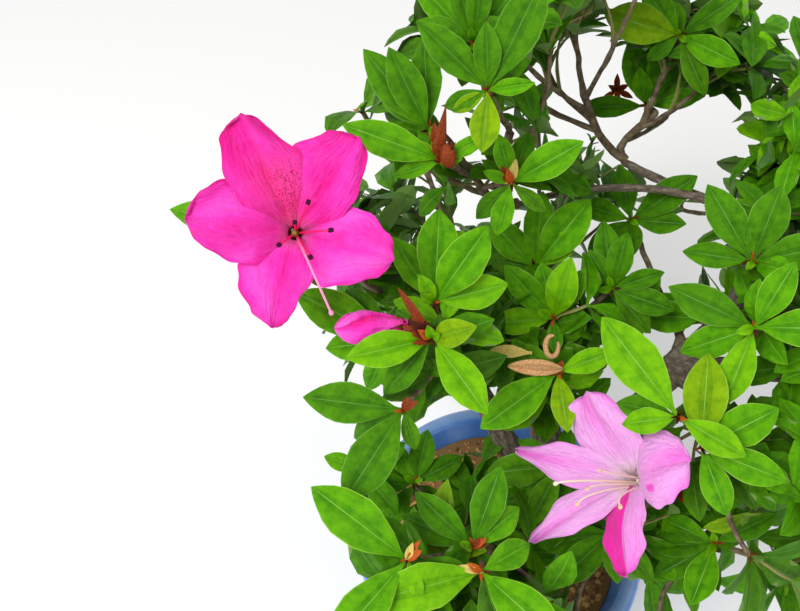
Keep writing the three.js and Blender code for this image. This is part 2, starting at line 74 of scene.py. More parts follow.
def smooth_step(low, high, value):
    share = np.clip((value - low) / (high - low), 0.0, 1.0)
    return share * share * (3 - 2 * share)


def put(name, data):
    """A new object of the scene that shows this data."""
    thing = bpy.data.objects.new(name, data)
    bpy.context.scene.collection.objects.link(thing)
    return thing


# %% [markdown]
# ## Camera
# The shrub is seen from above and in front, 55 degrees down, from about half a metre. A plain
# camera with a fixed lens is enough, with no shift and no blur.

# %% Camera
EYE = np.array([-49.0, -149.0, 511.0])
LOOKS_DOWN = math.radians(55)
FOCAL_PIXELS, FRAME_WIDTH, FRAME_HEIGHT = 850, 800, 611
RIGHT = np.array([1.0, 0.0, 0.0])
UP = np.array([0.0, math.sin(LOOKS_DOWN), math.cos(LOOKS_DOWN)])
FORWARD = np.array([0.0, math.cos(LOOKS_DOWN), -math.sin(LOOKS_DOWN)])

lens = bpy.data.cameras.new("photo_view")
lens.sensor_width = 36.0
lens.lens = lens.sensor_width * FOCAL_PIXELS / FRAME_WIDTH
lens.clip_start = 0.01
camera = put("photo_view", lens)
camera.location = Vector(EYE * MM)
camera.rotation_euler = (math.pi / 2 - LOOKS_DOWN, 0, 0)
bpy.context.scene.camera = camera


def seen_at(point):
    """Where a point shows in the picture, in pixels from its upper left corner."""
    offset = point - EYE
    scale = FOCAL_PIXELS / (offset @ FORWARD)
    return FRAME_WIDTH / 2 + scale * (offset @ RIGHT), FRAME_HEIGHT / 2 - scale * (offset @ UP)


def place_seen(x, y, depth):
    """The point that shows at a place in the picture, at a depth in millimetres."""
    aside, above = (x - FRAME_WIDTH / 2) / FOCAL_PIXELS, (FRAME_HEIGHT / 2 - y) / FOCAL_PIXELS
    return EYE + depth * (FORWARD + aside * RIGHT + above * UP)


print("lens", round(lens.lens, 2), "mm")

# %% [markdown]
# ## Floor and light
# A pale floor fills the whole background. The light is that of a bright overcast day: a white sky,
# one large soft lamp high on the left and a weak one on the right, so shadows stay open.

# %% Colour and nodes


def linear(colour):
    """An sRGB hex colour as linear red, green, blue and alpha."""
    parts = [int(colour[i : i + 2], 16) / 255 for i in (1, 3, 5)]
    return tuple(c / 12.92 if c <= 0.04045 else ((c + 0.055) / 1.055) ** 2.4 for c in parts) + (1.0,)


def output_of(value):
    """What a link starts from: a node stands for its first output."""
    return value.outputs[0] if isinstance(value, bpy.types.Node) else value


def add(material, kind, settings=None, links=None, stops=None):
    """One node, with its settings, its colour stops, and a value or another node for each input."""
    node = material.node_tree.nodes.new("ShaderNode" + kind)
    for name, value in (settings or {}).items():
        setattr(node, name, value)
    for place, (position, colour) in enumerate(stops or []):
        elements = node.color_ramp.elements
        element = elements[place] if place < 2 else elements.new(position)
        element.position = position
        element.color = linear(colour)
    for socket, value in (links or {}).items():
        value = output_of(value)
        if isinstance(value, bpy.types.NodeSocket):
            material.node_tree.links.new(value, node.inputs[socket])
        else:
            node.inputs[socket].default_value = value
    return node


def join(material, socket, value):
    """Leads a node or an output into a socket of the material's shader."""
    shader = material.node_tree.nodes["Principled BSDF"]
    material.node_tree.links.new(output_of(value), shader.inputs[socket])


def finish_of(name, colour, roughness, **sockets):
    """A material whose shader has these plain values."""
    material = bpy.data.materials.new(name)
    material.use_nodes = True
    values = {"Base Color": linear(colour), "Roughness": roughness}
    for socket, value in sockets.items():
        values[socket.replace("_", " ")] = value
    for socket, value in values.items():
        material.node_tree.nodes["Principled BSDF"].inputs[socket].default_value = value
    return material


def grained(name, dark, light, grain_mm, roughness, strength, relief_mm, **sockets):
    """A finish whose grain varies its colour from dark to light and roughens its surface."""
    material = finish_of(name, light, roughness, **sockets)
    place = add(material, "TexCoord")
    grain = add(material, "TexNoise", links={
        "Vector": place.outputs["Object"], "Scale": 1 / (grain_mm * MM), "Detail": 4.0,
    })
    tones = add(material, "ValToRGB", links={0: grain}, stops=[(0.35, dark), (0.65, light)])
    relief = add(material, "Bump", links={
        "Strength": strength, "Distance": relief_mm * MM, "Height": grain,
    })
    join(material, "Base Color", tones)
    join(material, "Normal", relief)
    return material


print("middle grey in linear light:", round(linear("#808080")[0], 3))

# %% Floor, sky and lamps
FLOOR_HALF = 4.0  # metres
studio_floor = finish_of("matt_white_board", "#FDFDFC", 0.9)
board = bpy.data.meshes.new("floor")
edges = [(-1, -1), (1, -1), (1, 1), (-1, 1)]
board.from_pydata([(FLOOR_HALF * x, FLOOR_HALF * y, 0) for x, y in edges], [], [(0, 1, 2, 3)])
board.materials.append(studio_floor)
floor = put("floor", board)

sky = bpy.data.worlds.new("overcast")
sky.use_nodes = True
sky_light = sky.node_tree.nodes["Background"].inputs
sky_light["Color"].default_value = (1.0, 1.0, 1.0, 1.0)
sky_light["Strength"].default_value = 0.62
bpy.context.scene.world = sky


def soft_lamp(name, place, target, size, power):
    """A square lamp, in metres and watts, turned to the point it lights."""
    data = bpy.data.lights.new(name, "AREA")
    data.size = size
    data.energy = power
    lamp = put(name, data)
    lamp.location = place
    lamp.rotation_euler = (Vector(target) - Vector(place)).to_track_quat("-Z", "Y").to_euler()


CROWN_MIDDLE = (0.0, 0.04, 0.22)
soft_lamp("key", (-0.6, -0.5, 1.33), CROWN_MIDDLE, 0.5, 14.0)
soft_lamp("fill", (1.1, -0.7, 0.9), CROWN_MIDDLE, 0.9, 2.5)
bpy.context.scene.view_settings.view_transform = "Standard"
bpy.context.scene.view_settings.look = "None"
print("floor", 2 * FLOOR_HALF, "m wide, lamps:", len(bpy.data.lights))

# %% [markdown]
# ## Meshes from arrays
# Thousands of leaves would be slow as separate objects, and particles are lost when the model is
# exported. So each kind of part is worked out as arrays of points, collected, and made into a few
# joined meshes. A leaf, a petal and a bud scale are all thin sheets: a grid of points, the same
# grid moved back a little, and one shared rim, which makes a closed body.

# %% A collector of parts


class Parts:
    """Points, faces, the finish of each face and a flat map, collected for one joined mesh."""

    def __init__(self):
        self.points, self.faces, self.finish, self.maps, self.count = [], [], [], [], 0

    def take(self, points, groups, finish, flat=None):
        """Adds a body. Each group of its faces is an array, and finish is one number or a list."""
        for faces in groups:
            self.faces.extend((faces + self.count).tolist())
        total = sum(len(faces) for faces in groups)
        self.finish.extend(finish if np.ndim(finish) else [finish] * total)
        self.points.append(points)
        self.maps.append(np.zeros((len(points), 2)) if flat is None else flat)
        self.count += len(points)

    def plain_mesh(self, name):
        mesh = bpy.data.meshes.new(name)
        mesh.from_pydata((np.concatenate(self.points) * MM).tolist(), [], self.faces)
        return mesh

    def make(self, name, materials, nodes=(), slot=None, sharp=55):
        """The mesh object, which rides on the root and stands for the named solids."""
        mesh = self.plain_mesh(name)
        for material in materials:
            mesh.materials.append(material)
        mesh.polygons.foreach_set("material_index", self.finish)
        mesh.polygons.foreach_set("use_smooth", [True] * len(self.faces))
        corner = np.empty(len(mesh.loops), np.int32)
        mesh.loops.foreach_get("vertex_index", corner)
        layer = mesh.uv_layers.new(name="flat")
        layer.uv.foreach_set("vector", np.concatenate(self.maps)[corner].astype(np.float32).ravel())
        mesh.update()
        mesh.set_sharp_from_angle(angle=math.radians(sharp))
        return place_piece(put(name, mesh), nodes)


def place_piece(piece, nodes):
    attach(piece, "root")
    if nodes:
        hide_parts(*nodes)
    triangles = sum(len(face.vertices) - 2 for face in piece.data.polygons)
    print(piece.name, triangles, "triangles")
    return piece


def bake_modifiers(piece):
    """Makes what a piece's modifiers give its own mesh."""
    finished = piece.evaluated_get(bpy.context.evaluated_depsgraph_get())
    piece.data = bpy.data.meshes.new_from_object(finished)
    piece.modifiers.clear()


# %% Thin sheets


@functools.lru_cache(maxsize=None)
def sheet_faces(rows, columns):
    """Faces of the upper side and the under side, and which points the under side has of its own."""
    upper = np.arange(rows * columns).reshape(rows, columns)
    own = np.zeros((rows, columns), bool)
    own[1:-1, 1:-1] = True
    under = upper.copy()
    under[own] = rows * columns + np.arange(own.sum())

    def quads(index):
        corners = (index[:-1, :-1], index[:-1, 1:], index[1:, 1:], index[1:, :-1])
        return np.stack(corners, -1).reshape(-1, 4)

    return quads(upper), quads(under)[:, ::-1], own


def sheet(grid, thickness):
    """Points of a thin closed body whose upper side is the grid."""
    along, across = np.gradient(grid, axis=0), np.gradient(grid, axis=1)
    normal = np.cross(across, along)
    normal /= np.linalg.norm(normal, axis=2, keepdims=True) + 1e-9
    _, _, own = sheet_faces(*grid.shape[:2])
    return np.concatenate([grid.reshape(-1, 3), (grid - normal * thickness)[own]])


def sheet_map(rows, columns, across, along):
    """A flat map of a sheet: from side to side, and from root to tip, both 0 to 1."""
    v, u = np.meshgrid(along, across, indexing="ij")
    flat = np.stack([u, v], -1)
    _, _, own = sheet_faces(rows, columns)
    return np.concatenate([flat.reshape(-1, 2), flat[own]])


print("a sheet of 14 by 10 points has", sheet_faces(14, 10)[2].sum(), "more on its under side")

# %% Curves and round bodies


def bend(start, through, end):
    """A curve through three points that passes the middle one halfway: its start, control and end."""
    a, m, b = (np.array(point, float) for point in (start, through, end))
    return a, 2 * m - a / 2 - b / 2, b


def point_on(curve, t):
    a, c, b = curve
    t = np.asarray(t, float)[..., None]
    return (1 - t) ** 2 * a + 2 * t * (1 - t) * c + t**2 * b


def tangent_on(curve, t):
    a, c, b = curve
    return unit((1 - t) * (c - a) + t * (b - c))


def carried_frames(path):
    """Two directions across a path at each of its points, carried along it without twisting."""
    tangents = np.gradient(path, axis=0)
    tangents /= np.linalg.norm(tangents, axis=1, keepdims=True)
    start = np.cross(tangents[0], (0.0, 0.0, 1.0) if abs(tangents[0][2]) < 0.9 else (1.0, 0.0, 0.0))
    sides = [unit(start)]
    for tangent in tangents[1:]:
        sides.append(unit(sides[-1] - (sides[-1] @ tangent) * tangent))
    sides = np.array(sides)
    return tangents, sides, np.cross(tangents, sides)


@functools.lru_cache(maxsize=None)
def ring_faces(rings, sides):
    """Walls between rings of points, and the fans that close them on two further points."""
    index = np.arange(rings * sides).reshape(rings, sides)
    after = np.roll(index, -1, axis=1)
    walls = np.stack([index[:-1], after[:-1], after[1:], index[1:]], -1).reshape(-1, 4)
    foot, top = rings * sides, rings * sides + 1
    ends = [[foot, after[0, i], index[0, i]] for i in range(sides)]
    ends += [[top, index[-1, i], after[-1, i]] for i in range(sides)]
    return walls, np.array(ends)


def take_tube(parts, path, radii, sides, finish, flat=None):
    """Adds a closed round body along a path. Its radii may differ round it."""
    path = np.asarray(path, float)
    _, first, second = carried_frames(path)
    angle = np.linspace(0, 2 * math.pi, sides, endpoint=False)[:, None]
    radii = np.broadcast_to(np.asarray(radii, float).reshape(len(path), -1), (len(path), sides))
    around = np.cos(angle) * first[:, None] + np.sin(angle) * second[:, None]
    rings = path[:, None] + radii[..., None] * around
    points = np.concatenate([rings.reshape(-1, 3), path[:1], path[-1:]])
    parts.take(points, ring_faces(len(path), sides), finish, flat)


print("a tube of 4 rings of 8 points has", sum(len(faces) for faces in ring_faces(4, 8)), "faces")

# %% [markdown]
# ## The shrub's plan
# The plan is the one the solids were made by: where each bough leaves the wood that carries it,
# which bough each mass of foliage hangs on, and where its whorls of leaves stand. A whorl that
# lists its leaves gives the clock angle, length and lift of each as the viewer sees it. The other
# whorls grow by a seeded rule. Repeating it here makes every twig end where its solid does.

# %% Boughs
TRUNK = {"from": [16, -20, 88], "through": [17, -15, 128], "to": [13, -6, 168], "foot": 9.5, "tip": 8}
FLARE = {"reach": 0.2, "spread": 0.65, "roots": 5, "depth": 0.17}
BOUGHS = {  # from, through, to, radius at its root and at its tip
    "bough_right": ([15, -9, 158], [40, 8, 188], [66, 32, 221], 7.2, 5.6),
    "bough_left": ([14, -9, 160], [-9, 4, 205], [-26, 12, 250], 5.6, 3.6),
    "bough_front": ([15, -12, 152], [-2, -33, 188], [-18, -48, 222], 5, 3.4),
    "bough_middle": ([13, -7, 164], [12, 8, 198], [8, 20, 226], 5.4, 3.4),
    "bough_right_low": ([17, -13, 140], [44, -20, 160], [64, -32, 178], 4.2, 3.2),
    "bough_left_low": ([17, -14, 134], [-10, -10, 150], [-34, -8, 164], 4, 3),
    "bough_rear_low": ([15, -10, 148], [12, 34, 172], [2, 74, 188], 4.8, 3.4),
    "bough_front_right": ([30, 0, 176], [36, -20, 192], [36, -32, 208], 3.8, 3.1),
    "bough_right_upper": ([64, 30, 219], [88, 52, 238], [92, 84, 250], 5.2, 4.4),
    "bough_right_far": ([62, 28, 216], [88, 20, 226], [106, 12, 234], 4.6, 3.4),
    "bough_right_front": ([60, 27, 214], [72, 4, 226], [68, -14, 238], 3.8, 3),
    "bough_cross": ([92, 80, 249], [45, 86, 258], [-4, 73, 262], 3.8, 3),
    "bough_rear": ([92, 82, 247], [66, 96, 248], [44, 105, 254], 3.6, 3.1),
}
limbs = {"trunk": bend(TRUNK["from"], TRUNK["through"], TRUNK["to"])}
for name, (start, through, end, _, _) in BOUGHS.items():
    limbs[name] = bend(start, through, end)
print("limbs:", len(limbs))

# %% Masses of foliage
# Each listed leaf has its clock angle, length and lift, and some have a tint of their own.
MASSES = {  # name: bough, and for each whorl its place and its leaves
    "mass_left_front": ("bough_left", [
        ([-39, -6, 289], [[257, 28, 18, "fresh"], [144, 29, 14], [75, 21, 50], [221, 24, -12]]),
        ([-38, 7, 290], [[35, 30, 16], [76, 24, 4], [327, 25, 6], [3, 30, -4], [22, 26, -14]]),
        ([-52, 2, 276], [[296, 35, 4], [262, 22, -8], [205, 20, -20], [318, 24, -18]]),
        ([-48, -25, 278], [[277, 31, 8], [213, 33, 10], [240, 20, -26]]),
    ]),
    "mass_bloom_left": ("bough_left", [
        ([-84, 30, 296], [[281, 43.5, -16], [302, 24, -34], [150, 24, -30], [40, 26, -40]]),
        ([-72, 40, 272], 6),
    ]),
    "mass_front_low": ("bough_front", [
        ([-25, -69, 259], [[254, 34, 16, "fresh"], [130, 31, 10], [160, 20, -30], [60, 20, -30]]),
        ([-26, -57, 246], [[312, 25, 10], [20, 27, 10], [292, 25, -6], [50, 20, -10]]),
        ([-47, -68, 267], [[306, 35, 14], [222, 35, 6], [186, 24, -20]]),
        ([-2, -66, 226], 6),
    ]),
    "mass_front_left_low": ("bough_front", [([-50, -64, 226], 6), ([-28, -82, 214], 6)]),
    "mass_top": ("bough_cross", [
        ([-22, 54, 336], [[314, 30, 16], [358, 21, 22], [27, 36, 10], [83, 16, 30]]),
        ([-25, 81, 333], [[316, 28, 4], [345, 22, 14], [8, 24, 20], [40, 26, 2]]),
        ([2, 88, 322], 6),
    ]),
    "mass_top_left": ("bough_cross", [
        ([-40, 50, 323], [[321, 32, 12], [334, 29, 20], [357, 28, 0], [312, 22, -22]]),
        ([-36, 41, 319], [[290, 33, 14], [252, 16, 10], [62, 16, 6]]),
        ([-11, 52, 297], [[61, 28, 16], [346, 17, 0], [130, 16, -10]]),
        ([-62, 78, 305], 5),
        ([-44, 96, 300], 5),
    ]),
    "mass_middle_front": ("bough_middle", [
        ([7, 25, 254], [[266, 25, 24, "fresh"], [318, 27, 14], [32, 22, 16], [16, 26, 30], [348, 22, 20]]),
        ([5, -1, 260], [[233, 33, 12], [171, 21, 14], [69, 21, 16], [300, 18, -16]]),
        ([-14, 20, 236], 5),
    ]),
    "mass_middle_rear": ("bough_middle", [
        ([3, 51, 251], [[6, 30, 18], [39, 33, 10], [317, 25, 10], [50, 22, 20], [280, 20, -16]]),
        ([31, 40, 252], [[15, 23, 20], [353, 26, 6], [330, 18, 20], [72, 20, 10]]),
    ]),
    "mass_front_right": ("bough_front_right", [
        ([27, -41, 216], [[256, 27, 8], [226, 28, 12], [175, 20, 30], [140, 22, -12]]),
        ([9, -20, 226], [[207, 25, 10], [262, 27, 4], [240, 24, -20], [300, 18, -10]]),
        ([12, -74, 204], 5),
    ]),
    "mass_right_front": ("bough_right_front", [
        ([36, -28, 279], [[323, 38, 8], [260, 17, 4], [281, 20, -16], [120, 22, 0]]),
        ([46, -32, 266], [[4, 30, 12], [60, 26, 6], [110, 26, 2], [160, 22, -4]]),
        ([80, -40, 250], 6),
        ([66, -56, 236], 5),
    ]),
    "mass_right": ("bough_right_far", [
        ([62, -2, 289], [[297, 29, 12], [250, 24, -6], [200, 26, 4], [90, 27, 8], [30, 24, 16]]),
        ([66, 22, 292], [[332, 29, 8], [280, 22, 0], [20, 26, 14], [80, 26, 10]]),
        ([92, -8, 280], 6),
        ([98, 28, 284], 6),
    ]),
    "mass_right_low": ("bough_right_low", [
        ([66, -42, 207], [[291, 22, 6], [262, 24, 10], [236, 26, 4], [200, 24, 8], [60, 24, 0]]),
        ([46, -68, 194], 5),
        ([88, -52, 206], 5),
        ([84, -26, 192], 5),
    ]),
    "mass_inner": ("bough_right", [
        ([44, 45, 227], [[37, 20, 10], [92, 27, 12], [75, 23, 0], [165, 16, 30], [310, 20, -10]]),
        ([49, 88, 236], [[349, 24, 12], [57, 32, 10], [96, 23, 14], [178, 20, 40]]),
    ]),
    "mass_rear_right_top": ("bough_rear", [
        ([57, 132, 260], [[272, 28, 6], [82, 24, 4], [352, 22, 44], [50, 26, 0]]),
        ([58, 122, 304], [[158, 25, 4], [120, 26, 20], [60, 26, 10], [300, 24, 12]]),
        ([84, 134, 286], 5),
        ([80, 150, 250], 5),
    ]),
    "mass_rear_top": ("bough_rear", [
        ([14, 122, 326], 5), ([32, 104, 334], 5), ([-10, 116, 322], 5), ([14, 152, 276], 5),
        ([-18, 140, 292], 5),
    ]),
    "mass_rear": ("bough_rear_low", [
        ([18, 168, 222], 5), ([46, 158, 212], 5), ([-8, 150, 236], 5), ([24, 130, 190], 5),
        ([60, 130, 204], 5),
    ]),
    "mass_rear_left": ("bough_rear_low", [
        ([-49, 111, 226], 5), ([-70, 74, 246], 5), ([-28, 130, 210], 5), ([-44, 96, 190], 5),
    ]),
    "mass_left_low": ("bough_left_low", [
        ([-43, -12, 192], [[266, 24, 8], [326, 22, 8], [14, 22, 14], [62, 22, 6], [215, 24, 6]]),
        ([-64, -14, 209], [[290, 15, 10], [200, 24, 0], [60, 20, 10], [140, 22, -4]]),
        ([-20, -15, 184], [[262, 20, 10], [215, 20, 0], [32, 20, 14], [330, 20, 10]]),
        ([-34, -42, 184], 5),
    ]),
    "mass_left_rear_low": ("bough_rear_low", [
        ([-50, 48, 192], 5), ([-66, 52, 218], 5), ([-22, 84, 172], 5),
    ]),
    "mass_right_far": ("bough_right_far", [
        ([134, 10, 262], 5), ([140, 30, 236], 5), ([132, -16, 236], 5), ([122, 4, 212], 5),
        ([114, -36, 248], 5),
    ]),
    "mass_right_rear": ("bough_right_upper", [
        ([124, 74, 276], 5), ([132, 92, 246], 5), ([112, 116, 262], 5), ([98, 62, 300], 5),
        ([104, 98, 292], 5),
    ]),
    "mass_right_rear_low": ("bough_right_upper", [
        ([112, 62, 204], 5), ([106, 96, 212], 5), ([84, 120, 212], 5),
    ]),
}
BLOOMS = {  # mass: throat, the way it faces, and how far the finished bloom stands from its solid
    "mass_bloom_left": ([-80, 13, 317], [0.12, -0.64, 0.76], [0, 0, 0]),
    "mass_front_right": ([29, -35, 248], [-0.76, -0.17, 0.63], [0, 0, 0]),
    "mass_right_far": ([128, -12, 268], [0.5, -0.4, 0.77], [0, 0, 0]),
    "mass_rear_left": ([-54, 138, 262], [-0.45, 0.6, 0.66], [12, 5, -8]),
}
SEEN_BLOOMS = ("mass_bloom_left", "mass_front_right")
BLOOM_STALK = 18  # from the throat back to the end of the twig
bloom_solids = {}
for name, (throat, faces, _) in BLOOMS.items():
    bloom_solids[name] = np.array(throat, float), unit(np.array(faces, float))
print("masses:", len(MASSES), "whorls:", sum(len(whorls) for _, whorls in MASSES.values()))

# %% The seeded rule
CROWN_HEART = np.array([12.0, 42.0, 215.0])
TWELVE_O_CLOCK = (0, 0.82, 0.57)
SEED_FIRST, SEED_STEP = 11, 7


def seeded_numbers(seed):
    state = seed

    def next_number():
        nonlocal state
        state = (state * 1664525 + 1013904223) % 4294967296
        return state / 4294967296

    return next_number


def front_frame(at, axis, twelve=(0, 0, 1)):
    """A whorl's or bloom's axis, and the up and right of a person who faces it."""
    up = np.array(twelve, float)
    up = unit(up - (up @ axis) * axis)
    return {"at": np.array(at, float), "axis": axis, "up": up, "right": np.cross(up, axis)}


def facing_light(at):
    return front_frame(at, unit(EYE - at), TWELVE_O_CLOCK)


def facing_outward(at, chance):
    x, y, z = chance() - 0.5, chance() - 0.5, 0.3 * chance()
    axis = unit(at - CROWN_HEART) + 0.8 * np.array([x, y, z]) + np.array([0, 0, 0.44])
    return front_frame(at, unit(axis))


def direction(front, clock, lift):
    c, f = math.radians(clock), math.radians(lift)
    flat = math.cos(c) * front["up"] + math.sin(c) * front["right"]
    return math.cos(f) * flat + math.sin(f) * front["axis"]


def seeded_leaves(count, chance):
    first = 360 * chance()
    return [
        (first + 360 * k / count + 24 * (chance() - 0.5), 26 + 4 * (2 * chance() - 1), 8 + 30 * chance())
        for k in range(count)
    ]


def stem_of(bough, heart):
    """A mass's stem starts inside its bough's tip, to the side that the mass lies on."""
    curve, tip_radius = limbs[bough], BOUGHS[bough][4]
    tip, along = curve[2], tangent_on(curve, 1.0)
    aside = heart - tip
    aside = unit(aside - (aside @ along) * along)
    start = tip - along + aside * (tip_radius - 2.1)
    return start, start + along * 0.4 * np.linalg.norm(start - heart), heart


print("first seeded number:", round(seeded_numbers(SEED_FIRST)(), 4))

# %% [markdown]
# ## Growing
# The solid of a mass shows which of its seeded leaves found room, so the rule asks it: such a leaf
# stands where the solid is near. Listed leaves always stand. Each spray has one main tint, as the
# leaves of one shoot are of one age. Sprays deep in the crown get darker tints, partly as older leaves
# and partly as painted shade.

# %% Nearness to the solids
solids = {}
for name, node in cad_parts.items():
    points = [vertex.co / MM for vertex in node.data.vertices]
    solids[name] = BVHTree.FromPolygons(points, [face.vertices[:] for face in node.data.polygons])


def far_from(name, point):
    """Distance in millimetres from a point to the surface of a solid."""
    return solids[name].find_nearest(Vector(point))[3]


def stands(name, root, along, length):
    return all(far_from(name, root + along * length * share) < 1.3 for share in (0.45, 0.7))


OPEN_VIEW = [  # left, top, right and bottom of where the picture shows sky or pot and no leaf
    (0, 0, 402, 28), (0, 0, 374, 58), (0, 0, 352, 118), (0, 118, 330, 150), (0, 150, 355, 180),
    (0, 300, 305, 420), (0, 395, 345, 482), (0, 482, 308, 545), (0, 545, 340, 640),
    (0, 340, 332, 372), (0, 530, 350, 640), (308, 284, 328, 302), (346, 430, 364, 446),
    (362, 154, 388, 180), (426, 410, 484, 444), (428, 174, 441, 187), (436, 74, 466, 104),
    (438, 86, 477, 104), (444, 118, 458, 135), (466, 132, 476, 148), (473, 190, 496, 212),
    (484, 384, 498, 408), (504, 138, 514, 162), (520, 190, 542, 212), (530, 66, 552, 80),
    (553, 42, 602, 76), (568, 76, 590, 136), (592, 214, 614, 240), (600, 590, 640, 640),
    (606, 62, 630, 118), (612, 130, 640, 156), (630, 124, 704, 162), (636, 262, 664, 300),
    (645, 250, 676, 284), (645, 328, 684, 348), (652, 180, 688, 196), (656, 90, 684, 196),
    (660, 225, 690, 262), (676, 214, 700, 232), (688, 150, 712, 200),
]


def in_open_view(point, margin=0):
    """Whether a point shows in such a place, or within a margin of pixels round it."""
    x, y = seen_at(point)
    return any(
        left - margin < x < right + margin and top - margin < y < bottom + margin
        for left, top, right, bottom in OPEN_VIEW
    )


print("solids to ask:", len(solids), "open places:", len(OPEN_VIEW))

# %% Twigs and leaves as in the solids
leaves, twigs, whorl_fronts, carriers = [], [], [], []
TINTS = ["fresh", "bright", "mid", "deep", "old", "gold"]
# The inner share deals darker tints to leaves deep in the crown: partly older leaves, partly painted
# shade.
SHARES = {  # how often each tint is dealt to a spray
    "front": (0.42, 0.34, 0.10, 0.00, 0.00, 0.14),
    "upper": (0.05, 0.33, 0.47, 0.15, 0.00, 0.00),
    "grown": (0.12, 0.28, 0.36, 0.18, 0.04, 0.02),
    "inner": (0.05, 0.24, 0.41, 0.22, 0.07, 0.01),
}
SPRAY_TINTS = {  # the tint that most leaves of each listed whorl have
    "mass_left_front": ["fresh", "bright", "bright", "mid"], "mass_bloom_left": ["fresh"],
    "mass_front_low": ["fresh", "mid", "bright"], "mass_top": ["mid", "mid"],
    "mass_top_left": ["mid", "bright", "bright"], "mass_middle_front": ["bright", "fresh"],
    "mass_middle_rear": ["bright", "mid"], "mass_front_right": ["mid", "deep"],
    "mass_right_front": ["fresh", "bright"], "mass_right": ["bright", "mid"],
    "mass_right_low": ["mid"], "mass_inner": ["bright", "mid"], "mass_rear_right_top": ["mid", "mid"],
    "mass_left_low": ["mid", "mid", "deep"],
}
SLIM = {  # masses whose leaves are narrower than most
    "mass_top": 0.86, "mass_top_left": 0.88, "mass_bloom_left": 0.7, "mass_rear_right_top": 0.84,
}


def dealt_tint(dice, kind):
    return TINTS[dice.choice(6, p=SHARES[kind])]


def add_leaf(name, front, clock, length, lift, width, tint, fine):
    leaves.append({
        "mass": name, "root": front["at"], "along": direction(front, clock, lift),
        "front": front["axis"], "length": length, "width": width, "tint": tint, "fine": fine,
    })


def rounded(start, end, axis):
    """A twig's curve, which arrives along its whorl's axis, but never hooks back."""
    chord = end - start
    length = np.linalg.norm(chord)
    straight = max(0.35, 0.5 + 0.5 * (chord @ axis) / length)
    return start, end - axis * 0.45 * straight * length, end


def grow_whorl(name, k, whorl, stem, count, chance, dice):
    at, listed = np.array(whorl[0], float), not isinstance(whorl[1], int)
    front = facing_light(at) if listed else facing_outward(at, chance)
    curve = rounded(point_on(stem, 1 - 0.6 * k / count), at, front["axis"])
    twigs.append((curve, 1.2, 0.8))
    carriers.append((curve, name))
    whorl_fronts.append((name, k, front))
    tint = SPRAY_TINTS[name][k] if listed else dealt_tint(dice, "grown")
    kind = "front" if tint in ("fresh", "bright") else "upper"
    for clock, length, lift, *given in whorl[1] if listed else seeded_leaves(whorl[1], chance):
        width = length * (0.37 + 0.12 * chance()) * SLIM.get(name, 1.0)
        way = direction(front, clock, lift)
        clear = not any(in_open_view(at + way * length * share) for share in (0.3, 0.6, 0.9))
        shown = clear and stands(name, at, way, length)
        if listed or shown:
            own = tint if dice.random() < 0.65 else dealt_tint(dice, kind)
            # listed leaves that lean back get the darker inner tints: partly painted shade
            own = dealt_tint(dice, "inner") if listed and lift < -8 else own
            own = given[0] if given else own
            add_leaf(name, front, clock, length, lift, width, own, listed)


for number, (name, (bough, whorls)) in enumerate(MASSES.items()):
    chance, dice = seeded_numbers(SEED_FIRST + SEED_STEP * number), np.random.default_rng(40 + number)
    middle = sum(np.array(whorl[0], float) for whorl in whorls) / len(whorls)
    stem = stem_of(bough, middle + 0.45 * (limbs[bough][2] - middle))
    twigs.append((stem, 2.0, 1.4))
    carriers.append((stem, name))
    if name in BLOOMS:
        throat, faces = bloom_solids[name]
        stalk_end = throat - BLOOM_STALK * faces
        twigs.append((rounded(point_on(stem, 0.9), stalk_end, faces), 1.2, 1.5))
    for k, whorl in enumerate(whorls):
        grow_whorl(name, k, whorl, stem, len(whorls), chance, dice)
print("leaves:", len(leaves), "twigs:", len(twigs))

# %% [markdown]
# ## Finer growth
# A living crown has far more leaves than its solids. What they leave out grows here: side shoots
# with small whorls, leaves along the twigs, young leaves at the tips and a few more full ones. It
# keeps close to the solids, off the blooms, behind the listed leaves, and out of the places where
# the picture shows sky or pot, so a point is asked about each of these before a leaf stands there.

# %% What keeps clear
corners, faces = [], []
for name in [*MASSES, *BOUGHS]:
    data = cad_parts[name].data
    faces += [[corner + len(corners) for corner in face.vertices] for face in data.polygons]
    corners += [vertex.co / MM for vertex in data.vertices]
everything = BVHTree.FromPolygons(corners, faces)
front_points, front_faces, front_seen = [], [], []
for leaf in (leaf for leaf in leaves if leaf["fine"]):
    side = unit(np.cross(leaf["along"], leaf["front"])) * leaf["width"] / 2
    middle, tip = (leaf["root"] + leaf["along"] * leaf["length"] * share for share in (0.5, 1.0))
    start = len(front_points)
    front_points += [Vector(point) for point in (leaf["root"], middle + side, tip, middle - side)]
    front_faces.append([start, start + 1, start + 2, start + 3])
    front_seen.append([*seen_at(middle), (middle - EYE) @ FORWARD])
listed_leaves = BVHTree.FromPolygons(front_points, front_faces)
front_seen = np.array(front_seen)
BLOOM_RADIUS, BLOOM_DEPTH, BLOOM_PIXELS = 37, 9, 110
LEAF_PIXELS, LEAF_CLEARANCE, LEAF_SHADOW, VIEW_MARGIN = 60, 4, 90, 6


def hides_a_bloom(point):
    """Whether a point lies over a bloom, or shows in front of one that the picture shows."""
    for throat, faces in bloom_solids.values():
        offset = point - throat
        height = offset @ faces
        if height > -BLOOM_DEPTH and np.linalg.norm(offset - height * faces) < BLOOM_RADIUS:
            return True
    for name in SEEN_BLOOMS:
        throat, _ = bloom_solids[name]
        nearer = (point - throat) @ FORWARD < 0
        if nearer and math.dist(seen_at(point), seen_at(throat)) < BLOOM_PIXELS:
            return True
    return False


